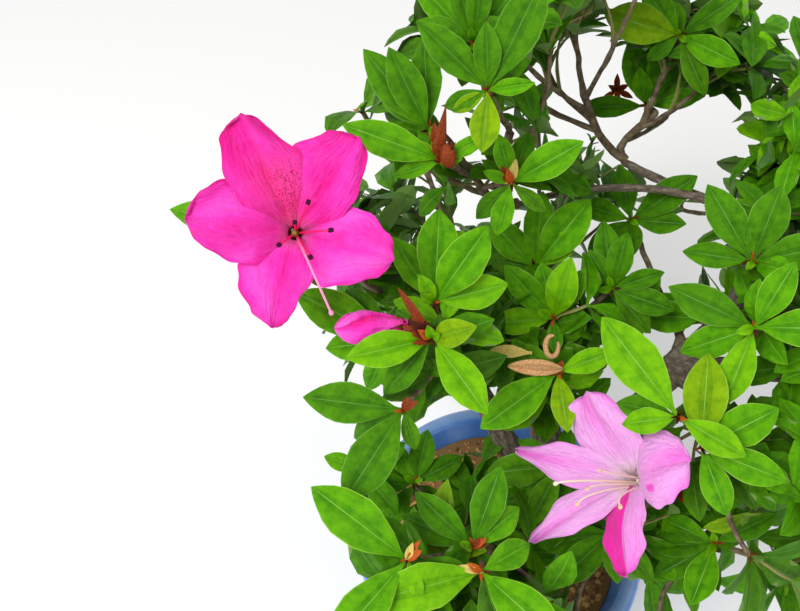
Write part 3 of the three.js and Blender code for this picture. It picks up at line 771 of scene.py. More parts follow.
def hides_the_front(point):
    """Whether a point shows in front of a listed leaf, level beside one, or in an open place."""
    if in_open_view(point, VIEW_MARGIN):
        return True
    x, y = seen_at(point)
    near = np.hypot(front_seen[:, 0] - x, front_seen[:, 1] - y) < LEAF_PIXELS
    if near.any() and (point - EYE) @ FORWARD < front_seen[near, 2].min() + LEAF_CLEARANCE:
        return True
    ray = unit(point - EYE)
    return listed_leaves.ray_cast(Vector(point + ray), Vector(ray), LEAF_SHADOW)[0] is not None


def has_room(point, reach):
    if any(point[i] < cad_low[i] / MM or point[i] > cad_high[i] / MM for i in range(3)):
        return False
    if everything.find_nearest(Vector(point))[3] > reach:
        return False
    return not (hides_a_bloom(point) or hides_the_front(point))


print("listed leaves to keep in view:", len(front_seen))

# %% Finer shoots
SHOOTS, TRIES = 560, 16000
SPACING, SHOOT_REACH = 7.5, 15.0  # between two whorls, and from a solid
fill = np.random.default_rng(5)
whorl_places = [front["at"] for _, _, front in whorl_fronts]
for name, (bough, _) in MASSES.items():
    for first in (0.35, 0.6):
        way = [point_on(limbs[bough], share) for share in (first, (first + 1) / 2, 1.0)]
        carriers.append((bend(*way), name))


def grow_shoot(curve, name, dice):
    """A small shoot that leaves a twig sideways, with a whorl of small leaves, where it has room."""
    t = dice.uniform(0.25, 0.95)
    start, along = point_on(curve, t), tangent_on(curve, t)
    way = unit(unit(np.cross(along, dice.normal(size=3))) + 0.6 * along + 0.3 * unit(start - CROWN_HEART))
    length = dice.uniform(9, 24)
    end = start + way * length
    if min(np.linalg.norm(end - other) for other in whorl_places) < SPACING:
        return
    if not has_room(end, SHOOT_REACH):
        return
    front = front_frame(end, unit(way + 0.25 * dice.normal(size=3) + np.array([0, 0, 0.55])))
    first, count, grown = dice.uniform(0, 360), dice.integers(4, 7), []
    for k in range(count):
        clock = first + 360 * k / count + dice.uniform(-15, 15)
        lift, size = dice.uniform(2, 42), dice.uniform(15, 25)
        tip = end + direction(front, clock, lift) * size
        if has_room(tip, SHOOT_REACH + 4) and has_room((tip + end) / 2, SHOOT_REACH):
            grown.append((clock, size, lift))
    if len(grown) < 3:
        return
    depth = np.linalg.norm((end - CROWN_HEART) / (110, 110, 95))
    # shoots deep in the crown get the darker inner tints: older leaves, and painted shade
    tint = dealt_tint(dice, "grown" if depth > 0.85 else "inner")
    for clock, size, lift in grown:
        add_leaf(name, front, clock, size, lift, size * dice.uniform(0.4, 0.5), tint, False)
    shoot = (start, start + unit(way + along) * length * 0.5, end)
    twigs.append((shoot, 0.8, 0.5))
    carriers.append((shoot, name))
    whorl_places.append(end)


for _ in range(TRIES):
    if len(whorl_places) < SHOOTS + len(whorl_fronts):
        grow_shoot(*carriers[fill.integers(len(carriers))], fill)
print("shoots:", len(whorl_places) - len(whorl_fronts), "leaves:", len(leaves))

# %% Single and young leaves
# leaves along the twigs get the darker inner tints: older leaves, and painted shade
for curve, name in carriers[: len(whorl_fronts) + len(MASSES)]:
    length = np.linalg.norm(curve[2] - curve[0])
    for t in np.arange(0.5, 0.97, max(0.08, 4 / length)):
        front = front_frame(point_on(curve, t), tangent_on(curve, t), (0.1, 0.2, 1))
        clock, lift, size = fill.uniform(0, 360), fill.uniform(10, 50), fill.uniform(13, 23)
        way = direction(front, clock, lift)
        if has_room(front["at"] + way * size, 14) and has_room(front["at"] + way * size / 2, 14):
            add_leaf(name, front, clock, size, lift, size * 0.45, dealt_tint(fill, "inner"), False)
YOUNG = {  # clock angle, length and lift of the small leaves that stand up in the listed whorls
    ("mass_left_front", 0): [[340, 9, 62], [60, 8, 70]],
    ("mass_left_front", 1): [[330, 14, 45], [300, 10, 60]],
    ("mass_top", 0): [[240, 13, -10]],
    ("mass_top_left", 1): [[330, 7, 20], [88, 7, 20], [300, 12, 10]],
    ("mass_top_left", 2): [[294, 11, 20]],
    ("mass_front_low", 0): [[350, 12, 50], [20, 13, 30]],
    ("mass_front_low", 2): [[160, 12, 0]],
    ("mass_middle_front", 0): [[13, 14, 35], [300, 10, 50]],
}
FURTHER = {  # clock angle, length, lift and tint of full leaves that the solids leave out
    ("mass_rear_right_top", 0): [[347, 29, 14, "bright"], [4, 25, 18, "mid"], [172, 10, 0, "bright"]],
    ("mass_rear_right_top", 1): [[291, 30, 12, "gold"], [325, 24, 8, "bright"], [236, 15, -10, "mid"]],
    ("mass_left_front", 3): [[163, 13, -8, "deep"]],
    ("mass_inner", 0): [[268, 25, 8, "mid"], [340, 22, 18, "bright"], [235, 22, 14, "mid"]],
    ("mass_inner", 1): [[235, 22, 10, "mid"], [290, 24, 6, "bright"]],
    ("mass_middle_rear", 1): [[110, 24, 4, "mid"], [140, 22, -6, "deep"]],
    ("mass_top", 0): [[186, 19, 6, "gold"], [250, 15, -14, "mid"]],
    ("mass_top", 1): [[290, 20, 10, "mid"], [195, 16, -20, "deep"]],
    ("mass_top_left", 2): [[196, 19, -8, "bright"], [225, 18, -16, "mid"], [20, 20, -24, "mid"]],
}
TOPMOST = ("mass_top", "mass_top_left")
for name, k, front in whorl_fronts:
    listed = not isinstance(MASSES[name][1][k][1], int)
    any_two = [[fill.uniform(0, 360), fill.uniform(5, 9), fill.uniform(45, 72)] for _ in range(2)]
    for clock, size, lift in YOUNG.get((name, k), any_two):
        tint = "bright" if name in TOPMOST else "fresh"
        tint = "gold" if fill.random() < 0.12 else tint
        if not hides_a_bloom(front["at"] + front["axis"] * 4):
            add_leaf(name, front, clock, size, lift, size * 0.38, tint, listed)
    for clock, size, lift, tint in FURTHER.get((name, k), ()):
        width = size * (0.5 if tint == "gold" else 0.42)
        add_leaf(name, front, clock, size, lift, width, tint, True)
# One shoot of this mass would stand in front of a listed leaf, so its leaves are left off.
leaves = [
    leaf for leaf in leaves
    if leaf["fine"] or leaf["mass"] != "mass_middle_front"
    or math.dist(seen_at(leaf["root"]), (538, 329)) > 9
]
print("leaves:", len(leaves), "of them fine:", sum(leaf["fine"] for leaf in leaves))

# %% [markdown]
# ## Leaves
# An azalea leaf is a pointed ellipse, folded a little along its midrib, with its tip bent down and
# a thin pale edge. It is glossy above and dull grey-green below. A picture on a card would look
# flat from the side, so each leaf is a small sheet, and the midrib, the edge and the underside are
# strips of faces with a finish of their own. The tints are plain colours dealt out by spray.

# %% Shape of a leaf
FINE_LEAF = (
    np.array([0, 0.05, 0.1, 0.17, 0.26, 0.36, 0.46, 0.56, 0.66, 0.76, 0.85, 0.92, 0.97, 1.0]),
    np.array([-1, -0.955, -0.62, -0.3, -0.026, 0.026, 0.3, 0.62, 0.955, 1]),
)
SMALL_LEAF = (
    np.array([0, 0.1, 0.27, 0.48, 0.68, 0.87, 1.0]),
    np.array([-1, -0.5, -0.035, 0.035, 0.5, 1]),
)
LEAF_THICKNESS = 0.35


def leaf_grid(leaf, arch, fold, twist, wave, lattice=FINE_LEAF):
    """Points of a leaf's upper side: an ellipse with a short stalk, arched, folded and twisted."""
    along, (s, columns) = leaf["along"], lattice
    side = unit(np.cross(along, leaf["front"]))
    face, length = np.cross(side, along), leaf["length"]
    blade = np.clip((s - 0.05) / 0.95, 0, 1)
    half = leaf["width"] / 2 * np.sin(math.pi * blade**1.18) ** 0.86
    half = np.maximum(half, np.interp(s, [0, 0.1, 0.9, 1], [0.55, 0.5, 0.1, 0.1]))
    turn = arch * (s - 0.5)
    chord = 2 * math.sin(arch / 2)
    x = length * (np.sin(turn) + math.sin(arch / 2)) / chord
    z = length * (np.cos(turn) - math.cos(arch / 2)) / chord
    centre = leaf["root"] + x[:, None] * along + z[:, None] * face
    normal = np.cos(turn)[:, None] * face + np.sin(turn)[:, None] * along
    roll = twist * (s - 0.3)
    across = np.cos(roll)[:, None] * side + np.sin(roll)[:, None] * normal
    above = np.cos(roll)[:, None] * normal - np.sin(roll)[:, None] * side
    c, h = columns[None, :], half[:, None]
    rise = h * fold * np.abs(c) * (1.1 - 0.7 * np.abs(c))
    ripple = np.sin(17 * s[:, None] + 1.9 * np.sign(c) + length) * np.abs(c) ** 3
    rise = rise + wave * h * ripple
    c = c * (1 + 0.25 * wave * np.sin(23 * s[:, None] + 2 * np.sign(c)) * (np.abs(c) > 0.8))
    return centre[:, None] + (c * h)[..., None] * across[:, None] + rise[..., None] * above[:, None]


print("a leaf has", 2 * (len(FINE_LEAF[0]) - 1) * (len(FINE_LEAF[1]) - 1), "faces")

# %% [markdown]
# ### Leaf finish
# A live leaf has a waxy skin over soft green tissue: a half-gloss with a faint quilting between
# its side veins. The quilting is a bump from the flat map, 7 pairs of veins to a leaf, and the
# colour varies a little over a few millimetres.

# %% Leaf materials
TINT_COLOURS = {  # lighter and darker green of the outer blade, and of the blade beside the midrib
    "fresh": ("#7CBE00", "#60A400", "#6EB000", "#529600"),
    "bright": ("#66AE00", "#4A9000", "#5AA000", "#3E8400"),
    "mid": ("#529200", "#3C7600", "#468400", "#326A00"),
    "deep": ("#569000", "#407400", "#4A8200", "#366800"),
    "old": ("#4E8010", "#3A680A", "#42740C", "#305C06"),
    "gold": ("#8AB400", "#6C9800", "#7AA600", "#5E8A00"),
}
MOTTLE_MM, HAIR_MM = 4.0, 0.1
VEIN_PAIRS, VEIN_SLANT = 7, 0.42


def vein_bump(material, place):
    """Quilting between the side veins of a leaf, from its flat map, and a fine down on it."""
    flat = add(material, "UVMap", {"uv_map": "flat"})
    parts = add(material, "SeparateXYZ", links={0: flat})
    centred = add(material, "Math", {"operation": "SUBTRACT"}, {0: parts, 1: 0.5})
    aside = add(material, "Math", {"operation": "ABSOLUTE"}, {0: centred})
    slant = add(material, "Math", {"operation": "MULTIPLY_ADD"}, {
        0: aside, 1: -VEIN_SLANT, 2: parts.outputs[1],
    })
    turns = add(material, "Math", {"operation": "MULTIPLY"}, {0: slant, 1: VEIN_PAIRS * math.pi})
    ridge = add(material, "Math", {"operation": "SINE"}, {0: turns})
    height = add(material, "Math", {"operation": "ABSOLUTE"}, {0: ridge})
    down = add(material, "TexNoise", links={
        "Vector": place.outputs["Object"], "Scale": 1 / (HAIR_MM * MM), "Detail": 2.0,
    })
    total = add(material, "Math", {"operation": "MULTIPLY_ADD"}, {0: down, 1: 1.6, 2: height})
    return add(material, "Bump", links={"Strength": 0.7, "Distance": 0.18 * MM, "Height": total})


def leaf_blade(name, light, dark):
    """Waxy leaf tissue: a half-gloss over a green that varies within a few millimetres."""
    material = finish_of(name, light, 0.36, Specular_IOR_Level=0.18, IOR=1.42)
    place = add(material, "TexCoord")
    mottle = add(material, "TexNoise", links={
        "Vector": place.outputs["Object"], "Scale": 1 / (MOTTLE_MM * MM), "Detail": 6.0, "Roughness": 0.66,
    })
    tones = add(material, "ValToRGB", links={0: mottle}, stops=[(0.36, dark), (0.62, light)])
    join(material, "Base Color", tones)
    join(material, "Normal", vein_bump(material, place))
    return material


PLAIN_STRIPS = {  # edges and midribs, each for pale and for dark leaves, and the dull underside
    "leaf_edge_pale": ("#80B41C", 0.5), "leaf_edge_dark": ("#5C921C", 0.5),
    "leaf_midrib_pale": ("#6CA81C", 0.45), "leaf_midrib_dark": ("#508416", 0.5),
    "leaf_underside": ("#6C9440", 0.62),
}
leaf_finishes = [leaf_blade(f"leaf_{tint}", *TINT_COLOURS[tint][:2]) for tint in TINTS]
leaf_finishes += [leaf_blade(f"leaf_{tint}_inner", *TINT_COLOURS[tint][2:]) for tint in TINTS]
for name, (green, roughness) in PLAIN_STRIPS.items():
    leaf_finishes.append(grained(name, green, green, HAIR_MM, roughness, 0.3, 0.1, IOR=1.42))
EDGE, MIDRIB, UNDERSIDE = 12, 14, 16
print("leaf finishes:", len(leaf_finishes))

# %% Sprays of leaves
LEAF_PIECES = {
    "leaves_left": [
        "mass_left_front", "mass_bloom_left", "mass_left_low", "mass_rear_left", "mass_left_rear_low",
    ],
    "leaves_front": [
        "mass_front_low", "mass_front_left_low", "mass_middle_front", "mass_middle_rear",
        "mass_front_right",
    ],
    "leaves_right": [
        "mass_right_front", "mass_right", "mass_right_low", "mass_right_far", "mass_right_rear",
        "mass_right_rear_low",
    ],
    "leaves_top": [
        "mass_top", "mass_top_left", "mass_inner", "mass_rear_right_top", "mass_rear_top", "mass_rear",
    ],
}
shape = np.random.default_rng(7)


def leaf_finish(lattice, tint):
    """The finish of each face of a leaf: edges, outer blade, inner blade, midrib and underside."""
    stations, columns = lattice
    middle = np.abs((columns[:-1] + columns[1:]) / 2)
    place, dark = TINTS.index(tint), int(tint in ("mid", "deep", "old"))
    strip = np.where(middle > 0.4, place, place + len(TINTS))
    if len(columns) > 6:
        strip[[0, -1]] = EDGE + dark
    strip[len(strip) // 2] = MIDRIB + dark
    upper = np.tile(strip, len(stations) - 1)
    return np.concatenate([upper, np.full(len(upper), UNDERSIDE)]).tolist()


def take_leaf(parts, grid, lattice, finish, thickness=LEAF_THICKNESS):
    stations, columns = lattice
    upper, under, _ = sheet_faces(len(stations), len(columns))
    flat = sheet_map(len(stations), len(columns), (columns + 1) / 2, stations)
    parts.take(sheet(grid, thickness), (upper, under), finish, flat)


for piece_name, masses in LEAF_PIECES.items():
    parts = Parts()
    for leaf in (leaf for leaf in leaves if leaf["mass"] in masses):
        lattice = FINE_LEAF if leaf["fine"] else SMALL_LEAF
        arch, fold = shape.uniform(0.2, 1.0), shape.uniform(0.15, 0.8)
        grid = leaf_grid(leaf, arch, fold, shape.normal(0, 0.28), shape.uniform(0.02, 0.12), lattice)
        take_leaf(parts, grid, lattice, leaf_finish(lattice, leaf["tint"]))
    parts.make(piece_name, leaf_finishes, masses, "foliage", sharp=70)

# %% [markdown]
# ## Twigs
# Young azalea twigs are thin, brown and a little crooked, greener towards the tip. They are round
# tubes along the same curves that the leaves were placed by, joined into one mesh.

# %% Twig tubes
young_bark = grained("young_bark", "#5A4634", "#8C7B60", 3.0, 0.75, 0.5, 0.3)  # matt, flaking
green_shoot = grained("green_shoot", "#7C7040", "#93984C", 0.35, 0.6, 0.1, 0.1)  # soft and downy
parts = Parts()
crook = np.random.default_rng(3)
for curve, root_radius, tip_radius in twigs:
    length = np.linalg.norm(curve[2] - curve[0])
    count = max(4, int(length / 3.5))
    t = np.linspace(0, 1, count)
    path = point_on(curve, t)
    path[1:-1] += crook.normal(0, 0.22, (count - 2, 3))
    knots = 1 + 0.12 * crook.normal(size=count)
    radii = (root_radius + (tip_radius - root_radius) * t) * knots
    grown = root_radius > 1
    take_tube(parts, path, radii, 7 if grown else 5, 0 if grown else 1)
parts.make("twigs", [young_bark, green_shoot], (), "foliage")

# %% [markdown]
# ## Trunk and boughs
# The old wood is grey-brown and finely ridged along its length, and it swells where a bough leaves
# it. Separate tubes would show hard seams at the forks. Here all limbs are joined by a voxel
# remesh, smoothed, and then each point is moved out or in by noise that is stretched along its own
# limb, which gives the bark's relief. The same stretched coordinates drive the bark's colour.

# %% Limbs as tubes
limb_samples = []


def trunk_radius(t, angle):
    flare = math.exp(-t / FLARE["reach"])
    ridges = 1 + FLARE["depth"] * flare * np.cos(FLARE["roots"] * angle)
    return (TRUNK["foot"] + (TRUNK["tip"] - TRUNK["foot"]) * t) * (1 + FLARE["spread"] * flare) * ridges


SLENDER = {"bough_cross": 0.5, "bough_rear": 0.62, "bough_right_upper": 0.85}  # against their solids
LIMB_STEPS = 30
parts = Parts()
for number, (name, curve) in enumerate(limbs.items()):
    t = np.linspace(0, 1, LIMB_STEPS)
    path = point_on(curve, t)
    if name == "trunk":
        angle = np.linspace(0, 2 * math.pi, 40, endpoint=False)
        radii = np.array([trunk_radius(share, angle) for share in t])
    else:
        root_radius, tip_radius = (SLENDER.get(name, 1.0) * radius for radius in BOUGHS[name][3:])
        collar = 1 + 0.28 * np.exp(-t / 0.09)
        radii = (root_radius + (tip_radius - root_radius) * t) * collar
        radii = radii * (1 - 0.25 * smooth_step(0.93, 1.0, t))
    take_tube(parts, path, radii, 40 if name == "trunk" else 20, 0)
    tangents, first, second = carried_frames(path)
    steps = np.concatenate([[0], np.cumsum(np.linalg.norm(np.diff(path, axis=0), axis=1))])
    limb_samples += list(zip(path, tangents, first, second, steps, [number] * LIMB_STEPS))
wood_object = put("wood", parts.plain_mesh("limbs_rough"))
remesh = wood_object.modifiers.new("join", "REMESH")
remesh.mode = "VOXEL"
remesh.voxel_size = 0.75 * MM
blend = wood_object.modifiers.new("blend", "SMOOTH")
blend.factor, blend.iterations = 0.5, 8
bake_modifiers(wood_object)
joined = wood_object.data
print("wood points:", len(joined.vertices))

# %% Bark relief
RIDGE_MM, RIDGE_HEIGHT, PIT_HEIGHT, CRACK_DEPTH = 9.0, 0.55, 0.28, 0.7
tree = kdtree.KDTree(len(limb_samples))
for index, sample in enumerate(limb_samples):
    tree.insert(Vector(sample[0]), index)
tree.balance()


def values_of(mesh, what):
    """The place or the normal of each point of a mesh."""
    values = np.empty(len(mesh.vertices) * 3, np.float32)
    mesh.vertices.foreach_get(what, values)
    return values.reshape(-1, 3).astype(float)


points, normals = values_of(joined, "co") / MM, values_of(joined, "normal")
grain, relief = np.empty_like(points), np.empty(len(points))
for index, point in enumerate(points):
    centre, tangent, first, second, step, number = limb_samples[tree.find(Vector(point))[1]]
    offset = point - centre
    radius = max(np.linalg.norm(offset), 0.5)
    step += offset @ tangent
    around = np.array([offset @ first, offset @ second]) / radius * (0.35 * radius)
    grain[index] = (around[0], around[1], step / RIDGE_MM + 7 * number)
    place = Vector(grain[index])
    ridges = noise.noise(place * 1.1) + 0.6 * noise.noise(place * 2.3 + Vector((3, 1, 8)))
    cracks = math.exp(-14 * abs(noise.noise(place * 1.7 + Vector((9, 4, 2)))))
    pits = noise.noise(Vector(point) * 0.55)
    relief[index] = RIDGE_HEIGHT * (ridges - CRACK_DEPTH * cracks) + PIT_HEIGHT * pits
    relief[index] *= min(1.0, radius / 5)
points += normals * relief[:, None]
joined.vertices.foreach_set("co", (points * MM).astype(np.float32).ravel())
attribute = joined.attributes.new("grain", "FLOAT_VECTOR", "POINT")
attribute.data.foreach_set("vector", grain.astype(np.float32).ravel())
joined.polygons.foreach_set("use_smooth", [True] * len(joined.polygons))
joined.update()
print("bark relief from", round(relief.min(), 2), "to", round(relief.max(), 2), "mm")

# %% [markdown]
# ### Bark finish
# Old azalea bark is dry and matt, in thin grey and brown strips along the limb, with dull green
# patches of lichen some 14 mm wide. The strips follow the same stretched coordinates as the relief.

# %% Old bark
LICHEN_MM = 14
bark = finish_of("old_azalea_bark", "#7D6A5C", 0.85)
strips = add(bark, "Attribute", {"attribute_name": "grain"}).outputs["Vector"]
streaks = add(bark, "TexNoise", links={
    "Vector": strips, "Scale": 2.2, "Detail": 6.0, "Roughness": 0.65,
})
tones = add(bark, "ValToRGB", links={0: streaks}, stops=[
    (0.3, "#43352B"), (0.5, "#77675A"), (0.68, "#A3947F"),
])
place = add(bark, "TexCoord")
patch = add(bark, "TexNoise", links={
    "Vector": place.outputs["Object"], "Scale": 1 / (LICHEN_MM * MM), "Detail": 3.0,
})
share = add(bark, "ValToRGB", links={0: patch}, stops=[(0.5, "#000000"), (0.7, "#6E6E6E")])
lichen = add(bark, "Mix", {"data_type": "RGBA"}, {0: share, 6: tones, 7: linear("#8F9478")})
fine_grain = add(bark, "TexNoise", links={"Vector": strips, "Scale": 6.0, "Detail": 5.0})
bump = add(bark, "Bump", links={"Strength": 0.7, "Distance": 0.5 * MM, "Height": fine_grain})
join(bark, "Base Color", lichen.outputs[2])
join(bark, "Normal", bump)
joined.materials.clear()
joined.materials.append(bark)
place_piece(wood_object, list(limbs))

# %% [markdown]
# ## Blooms
# An azalea bloom is one piece of tissue: a tube that opens into five lobes, which overlap at their
# sides and bend back at their tips. Each lobe is a sheet that follows a centre line out of the
# tube. Near the throat it wraps a fifth of the tube's wall, so the five join up. Farther out it
# takes its own outline, ruffled at the edge, with a furrow down its middle.

# %% Shape of a lobe
TUBE_LENGTH, MOUTH = 20.0, 2.3
TUBE_ROWS, LOBE_ROWS, LOBE_COLUMNS = 7, 42, 33
PETAL_THICKNESS = 0.3
OUTLINE_AT = [0.0, 0.15, 0.3, 0.45, 0.6, 0.75, 0.9]


def half_width(share, widths):
    """Half the width of a lobe at each share of the way out, from its widths at seven places."""
    near = [np.interp(np.clip(share + step, 0, 0.9), OUTLINE_AT, widths) for step in (-0.05, 0, 0.05)]
    return np.mean(near, axis=0) * np.sqrt(1 - np.clip((share - 0.9) / 0.1, 0, 0.995) ** 2)


def centre_line(length, lift, recurve):
    """Distance from the axis, height along it and share of the way, from the foot to the tip."""
    s = np.linspace(0, 1, TUBE_ROWS, endpoint=False)
    tube_r = 1.6 + (MOUTH - 1.6) * s**1.5
    tube_h = -TUBE_LENGTH + (TUBE_LENGTH - 2) * s
    q = 1 - (1 - np.linspace(0, 1, LOBE_ROWS)) ** 1.25
    f = math.radians(lift)
    reach, rise = length * math.cos(f), length * math.sin(f)
    knots = np.array([
        [MOUTH, -2], [MOUTH + 0.16 * length, 0.17 * length],
        [0.66 * reach, 0.66 * rise + recurve], [reach, rise - 0.5 * recurve],
    ])
    line = np.stack([(1 - q) ** 3, 3 * q * (1 - q) ** 2, 3 * q * q * (1 - q), q**3], -1) @ knots
    share = (line[:, 0] - MOUTH) / (reach - MOUTH)
    radius, height = np.concatenate([tube_r, line[:, 0]]), np.concatenate([tube_h, line[:, 1]])
    return radius, height, np.concatenate([s * 0, share])


def lobe_grid(front, lobe, phase):
    """Points of a lobe and its share of the tube, from the tube's foot to the tip."""
    clock = math.radians(lobe["clock"])
    out = math.cos(clock) * front["up"] + math.sin(clock) * front["right"]
    side = -math.sin(clock) * front["up"] + math.cos(clock) * front["right"]
    radius, height, q = centre_line(lobe["length"], lobe["lift"], lobe["recurve"])
    s = np.linspace(-1, 1, LOBE_COLUMNS)[None, :]
    r, share = radius[:, None], q[:, None]
    left, right = half_width(q, lobe["left"])[:, None], half_width(q, lobe["right"])[:, None]
    width = np.where(s < 0, left, right)
    width = width * (1 + 0.035 * np.sin(phase + 21 * share + 4 * s) * (np.abs(s) > 0.9)) + 0.12
    opened = smooth_step(0.0, 0.16, share)
    angle = math.radians(36) * s
    x = r * np.sin(angle) * (1 - opened) + width * s * opened
    y = r * np.cos(angle) * (1 - opened) + r * opened - 0.6 * lobe["blunt"] * (s * share) ** 2
    free = smooth_step(0.12, 0.7, share)
    ruffle = lobe["ruffle"] * np.sin(phase + 13 * share + 2.5 * s) * np.abs(s) ** 2.5 * free
    swell = 1.0 * np.sin(2 * phase + 4.2 * s + 3 * share) * (1 - np.abs(s) ** 4) * free
    furrow = -1.0 * np.exp(-((s / 0.11) ** 2)) * smooth_step(0.02, 0.2, share) * (1 - 0.75 * share)
    beside = 0.45 * np.exp(-(((np.abs(s) - 0.3) / 0.2) ** 2)) * free
    cup = -lobe["cup"] * (width * s) ** 2 / 60 * opened
    lean = lobe["lean"] * width * s * smooth_step(0.05, 0.5, share)
    layer = lobe["layer"] * smooth_step(0.02, 0.3, share)
    z = height[:, None] + ruffle + swell + furrow + beside + cup + lean + layer
    points = front["at"] + y[..., None] * out + x[..., None] * side + z[..., None] * front["axis"]
    return points, q, s[0]


print("a lobe has", TUBE_ROWS + LOBE_ROWS, "rows of", LOBE_COLUMNS, "points")

# %% [markdown]
# ### Petal finish
# Petals are soft tissue with a velvet-like skin: no gloss, a little light passing through, and
# fine darker veins that fan out from the throat. Three numbers are painted on each point of a
# bloom: how magenta the place is, how thickly it is speckled, and how pale the throat is. The shader
# mixes its colours by them, so one finish serves both the magenta and the pale bloom.

# %% Petal colours
petal = finish_of(
    "petal_skin", "#F03CB4", 0.55, IOR=1.4, Specular_IOR_Level=0.25, Sheen_Weight=0.08,
    Sheen_Roughness=0.5, Subsurface_Weight=0.25, Subsurface_Radius=(1.0, 0.35, 0.6),
    Subsurface_Scale=0.8 * MM,
)
CLOUD_MM = 3.5
painted = add(petal, "Attribute", {"attribute_name": "petal"})
levels = add(petal, "SeparateColor", links={0: painted.outputs["Color"]})
magenta_level, speckle_level, pale_level = levels.outputs
body = add(petal, "ValToRGB", links={0: magenta_level}, stops=[
    (0.0, "#F6E6F3"), (0.25, "#F2ACEC"), (0.5, "#F668D8"), (0.75, "#F634BA"), (1.0, "#EA0A90"),
])
where = add(petal, "TexCoord")
clouds = add(petal, "TexNoise", links={
    "Vector": where.outputs["Object"], "Scale": 1 / (CLOUD_MM * MM), "Detail": 4.0,
})
cloud_share = add(petal, "ValToRGB", links={0: clouds}, stops=[(0.42, "#000000"), (0.72, "#B4B4B4")])
clouded = add(petal, "Mix", {"data_type": "RGBA", "blend_type": "SCREEN"}, {
    0: cloud_share, 6: body, 7: linear("#7C3C86"),
})
print("petal nodes so far:", len(petal.node_tree.nodes))

# %% Petal veins
# The flat map is one lobe wide and long, about 24 by 50 mm with its tube, so a scale of 15 by 30
# draws a net with meshes of about 1.6 mm, which is as coarse as it has to be to show.
flat = add(petal, "UVMap", {"uv_map": "flat"})
fan = add(petal, "Mapping", links={"Vector": flat, "Scale": (1.0, 0.22, 1.0)})
veins = add(petal, "TexWave", links={
    "Vector": fan, "Scale": 3.0, "Distortion": 7.0, "Detail": 4.0, "Detail Scale": 2.0,
})
thin = add(petal, "ValToRGB", links={0: veins}, stops=[(0.0, "#B0B0B0"), (0.11, "#000000")])
meshes = add(petal, "Mapping", links={"Vector": flat, "Scale": (15.0, 30.0, 1.0)})
net = add(petal, "TexVoronoi", {"feature": "DISTANCE_TO_EDGE"}, {"Vector": meshes, "Scale": 1.0})
fine = add(petal, "ValToRGB", links={0: net.outputs["Distance"]}, stops=[
    (0.0, "#9A9A9A"), (0.14, "#000000"),
])
both = add(petal, "Math", {"operation": "MAXIMUM"}, {0: thin, 1: fine})
vein_share = add(petal, "Math", {"operation": "MULTIPLY"}, {0: both, 1: 0.34})
veined = add(petal, "Mix", {"data_type": "RGBA", "blend_type": "MULTIPLY"}, {
    0: vein_share, 6: clouded.outputs[2], 7: linear("#D8288E"),
})
print("petal nodes so far:", len(petal.node_tree.nodes))

# %% Speckles, throat and relief of the petals
dot_grid = add(petal, "Mapping", links={"Vector": flat, "Scale": (34.0, 60.0, 1.0)})
dots = add(petal, "TexVoronoi", links={"Vector": dot_grid, "Scale": 1.0})
dot_size = add(petal, "Math", {"operation": "MULTIPLY"}, {0: speckle_level, 1: 0.34})
inside = add(petal, "Math", {"operation": "LESS_THAN"}, {0: dots.outputs["Distance"], 1: dot_size})
warmth = add(petal, "Math", {"operation": "MULTIPLY"}, {0: speckle_level, 1: 0.5})
layer = veined
for share, colour in ((warmth, "#F04C86"), (inside, "#B01048"), (pale_level, "#F2DCC8")):
    layer = add(petal, "Mix", {"data_type": "RGBA"}, {0: share, 6: layer.outputs[2], 7: linear(colour)})
join(petal, "Base Color", layer.outputs[2])
furrows = add(petal, "Bump", {"invert": True}, {"Strength": 0.4, "Distance": 0.25 * MM, "Height": both})
creases = add(petal, "Mapping", links={"Vector": flat, "Scale": (22.0, 9.0, 1.0)})
crinkles = add(petal, "TexNoise", links={"Vector": creases, "Scale": 1.0, "Detail": 5.0})
crinkled = add(petal, "Bump", links={
    "Strength": 0.9, "Distance": 1.3 * MM, "Height": crinkles, "Normal": furrows,
})
join(petal, "Normal", crinkled)
print("petal nodes:", len(petal.node_tree.nodes))

# %% Blooms from lobes


def paint(piece, numbers):
    """Keeps the three numbers that the petal finish reads, on each point of a piece."""
    colours = piece.data.color_attributes.new("petal", "FLOAT_COLOR", "POINT")
    colours.data.foreach_set("color", numbers.astype(np.float32).ravel())


def make_bloom(name, front, lobes, seed):
    """One bloom, each of whose points is painted."""
    parts, painting = Parts(), []
    dice = np.random.default_rng(seed)
    for number, lobe in enumerate(lobes):
        grid, q, s = lobe_grid(front, lobe, dice.uniform(0, 6))
        rows, columns = len(q), len(s)
        upper, under, own = sheet_faces(rows, columns)
        flat = sheet_map(rows, columns, (s + 1) / 2, np.linspace(0, 1, rows))
        parts.take(sheet(grid, PETAL_THICKNESS), (upper, under), 0, flat + [1.7 * number, 0])
        share, across = q[:, None], s[None, :]
        flush = np.clip(lobe["flush"](share, across), 0, 1) + 0 * across
        blotch = lobe["blotch"](share, across) * smooth_step(0.0, 0.08, share) + 0 * across
        inner = lobe["pale_throat"] * (1 - smooth_step(-0.02, 0.16, share)) + 0 * across
        numbers = np.stack([flush, blotch, inner, np.ones_like(flush)], -1)
        painting.append(np.concatenate([numbers.reshape(-1, 4), numbers[own]]))
    paint(parts.make(name, [petal]), np.concatenate(painting))


def unspeckled(q, s):
    return 0 * q


def lobe(clock, length, left, right, lift, **more):
    """The description of a lobe, with ordinary values for what isn't given."""
    plain = {
        "clock": clock, "length": length, "left": left, "right": right, "lift": lift, "layer": 0.0,
        "ruffle": 0.9, "cup": 0.6, "recurve": 3.0, "lean": 0.0, "blunt": 2.0,
        "pale_throat": 0.12, "blotch": unspeckled,
    }
    return {**plain, **more}


def front_of(node):
    """A bloom's throat, axis, up and right."""
    throat, faces = bloom_solids[node]
    return front_frame(throat + BLOOMS[node][2], faces, TWELVE_O_CLOCK)


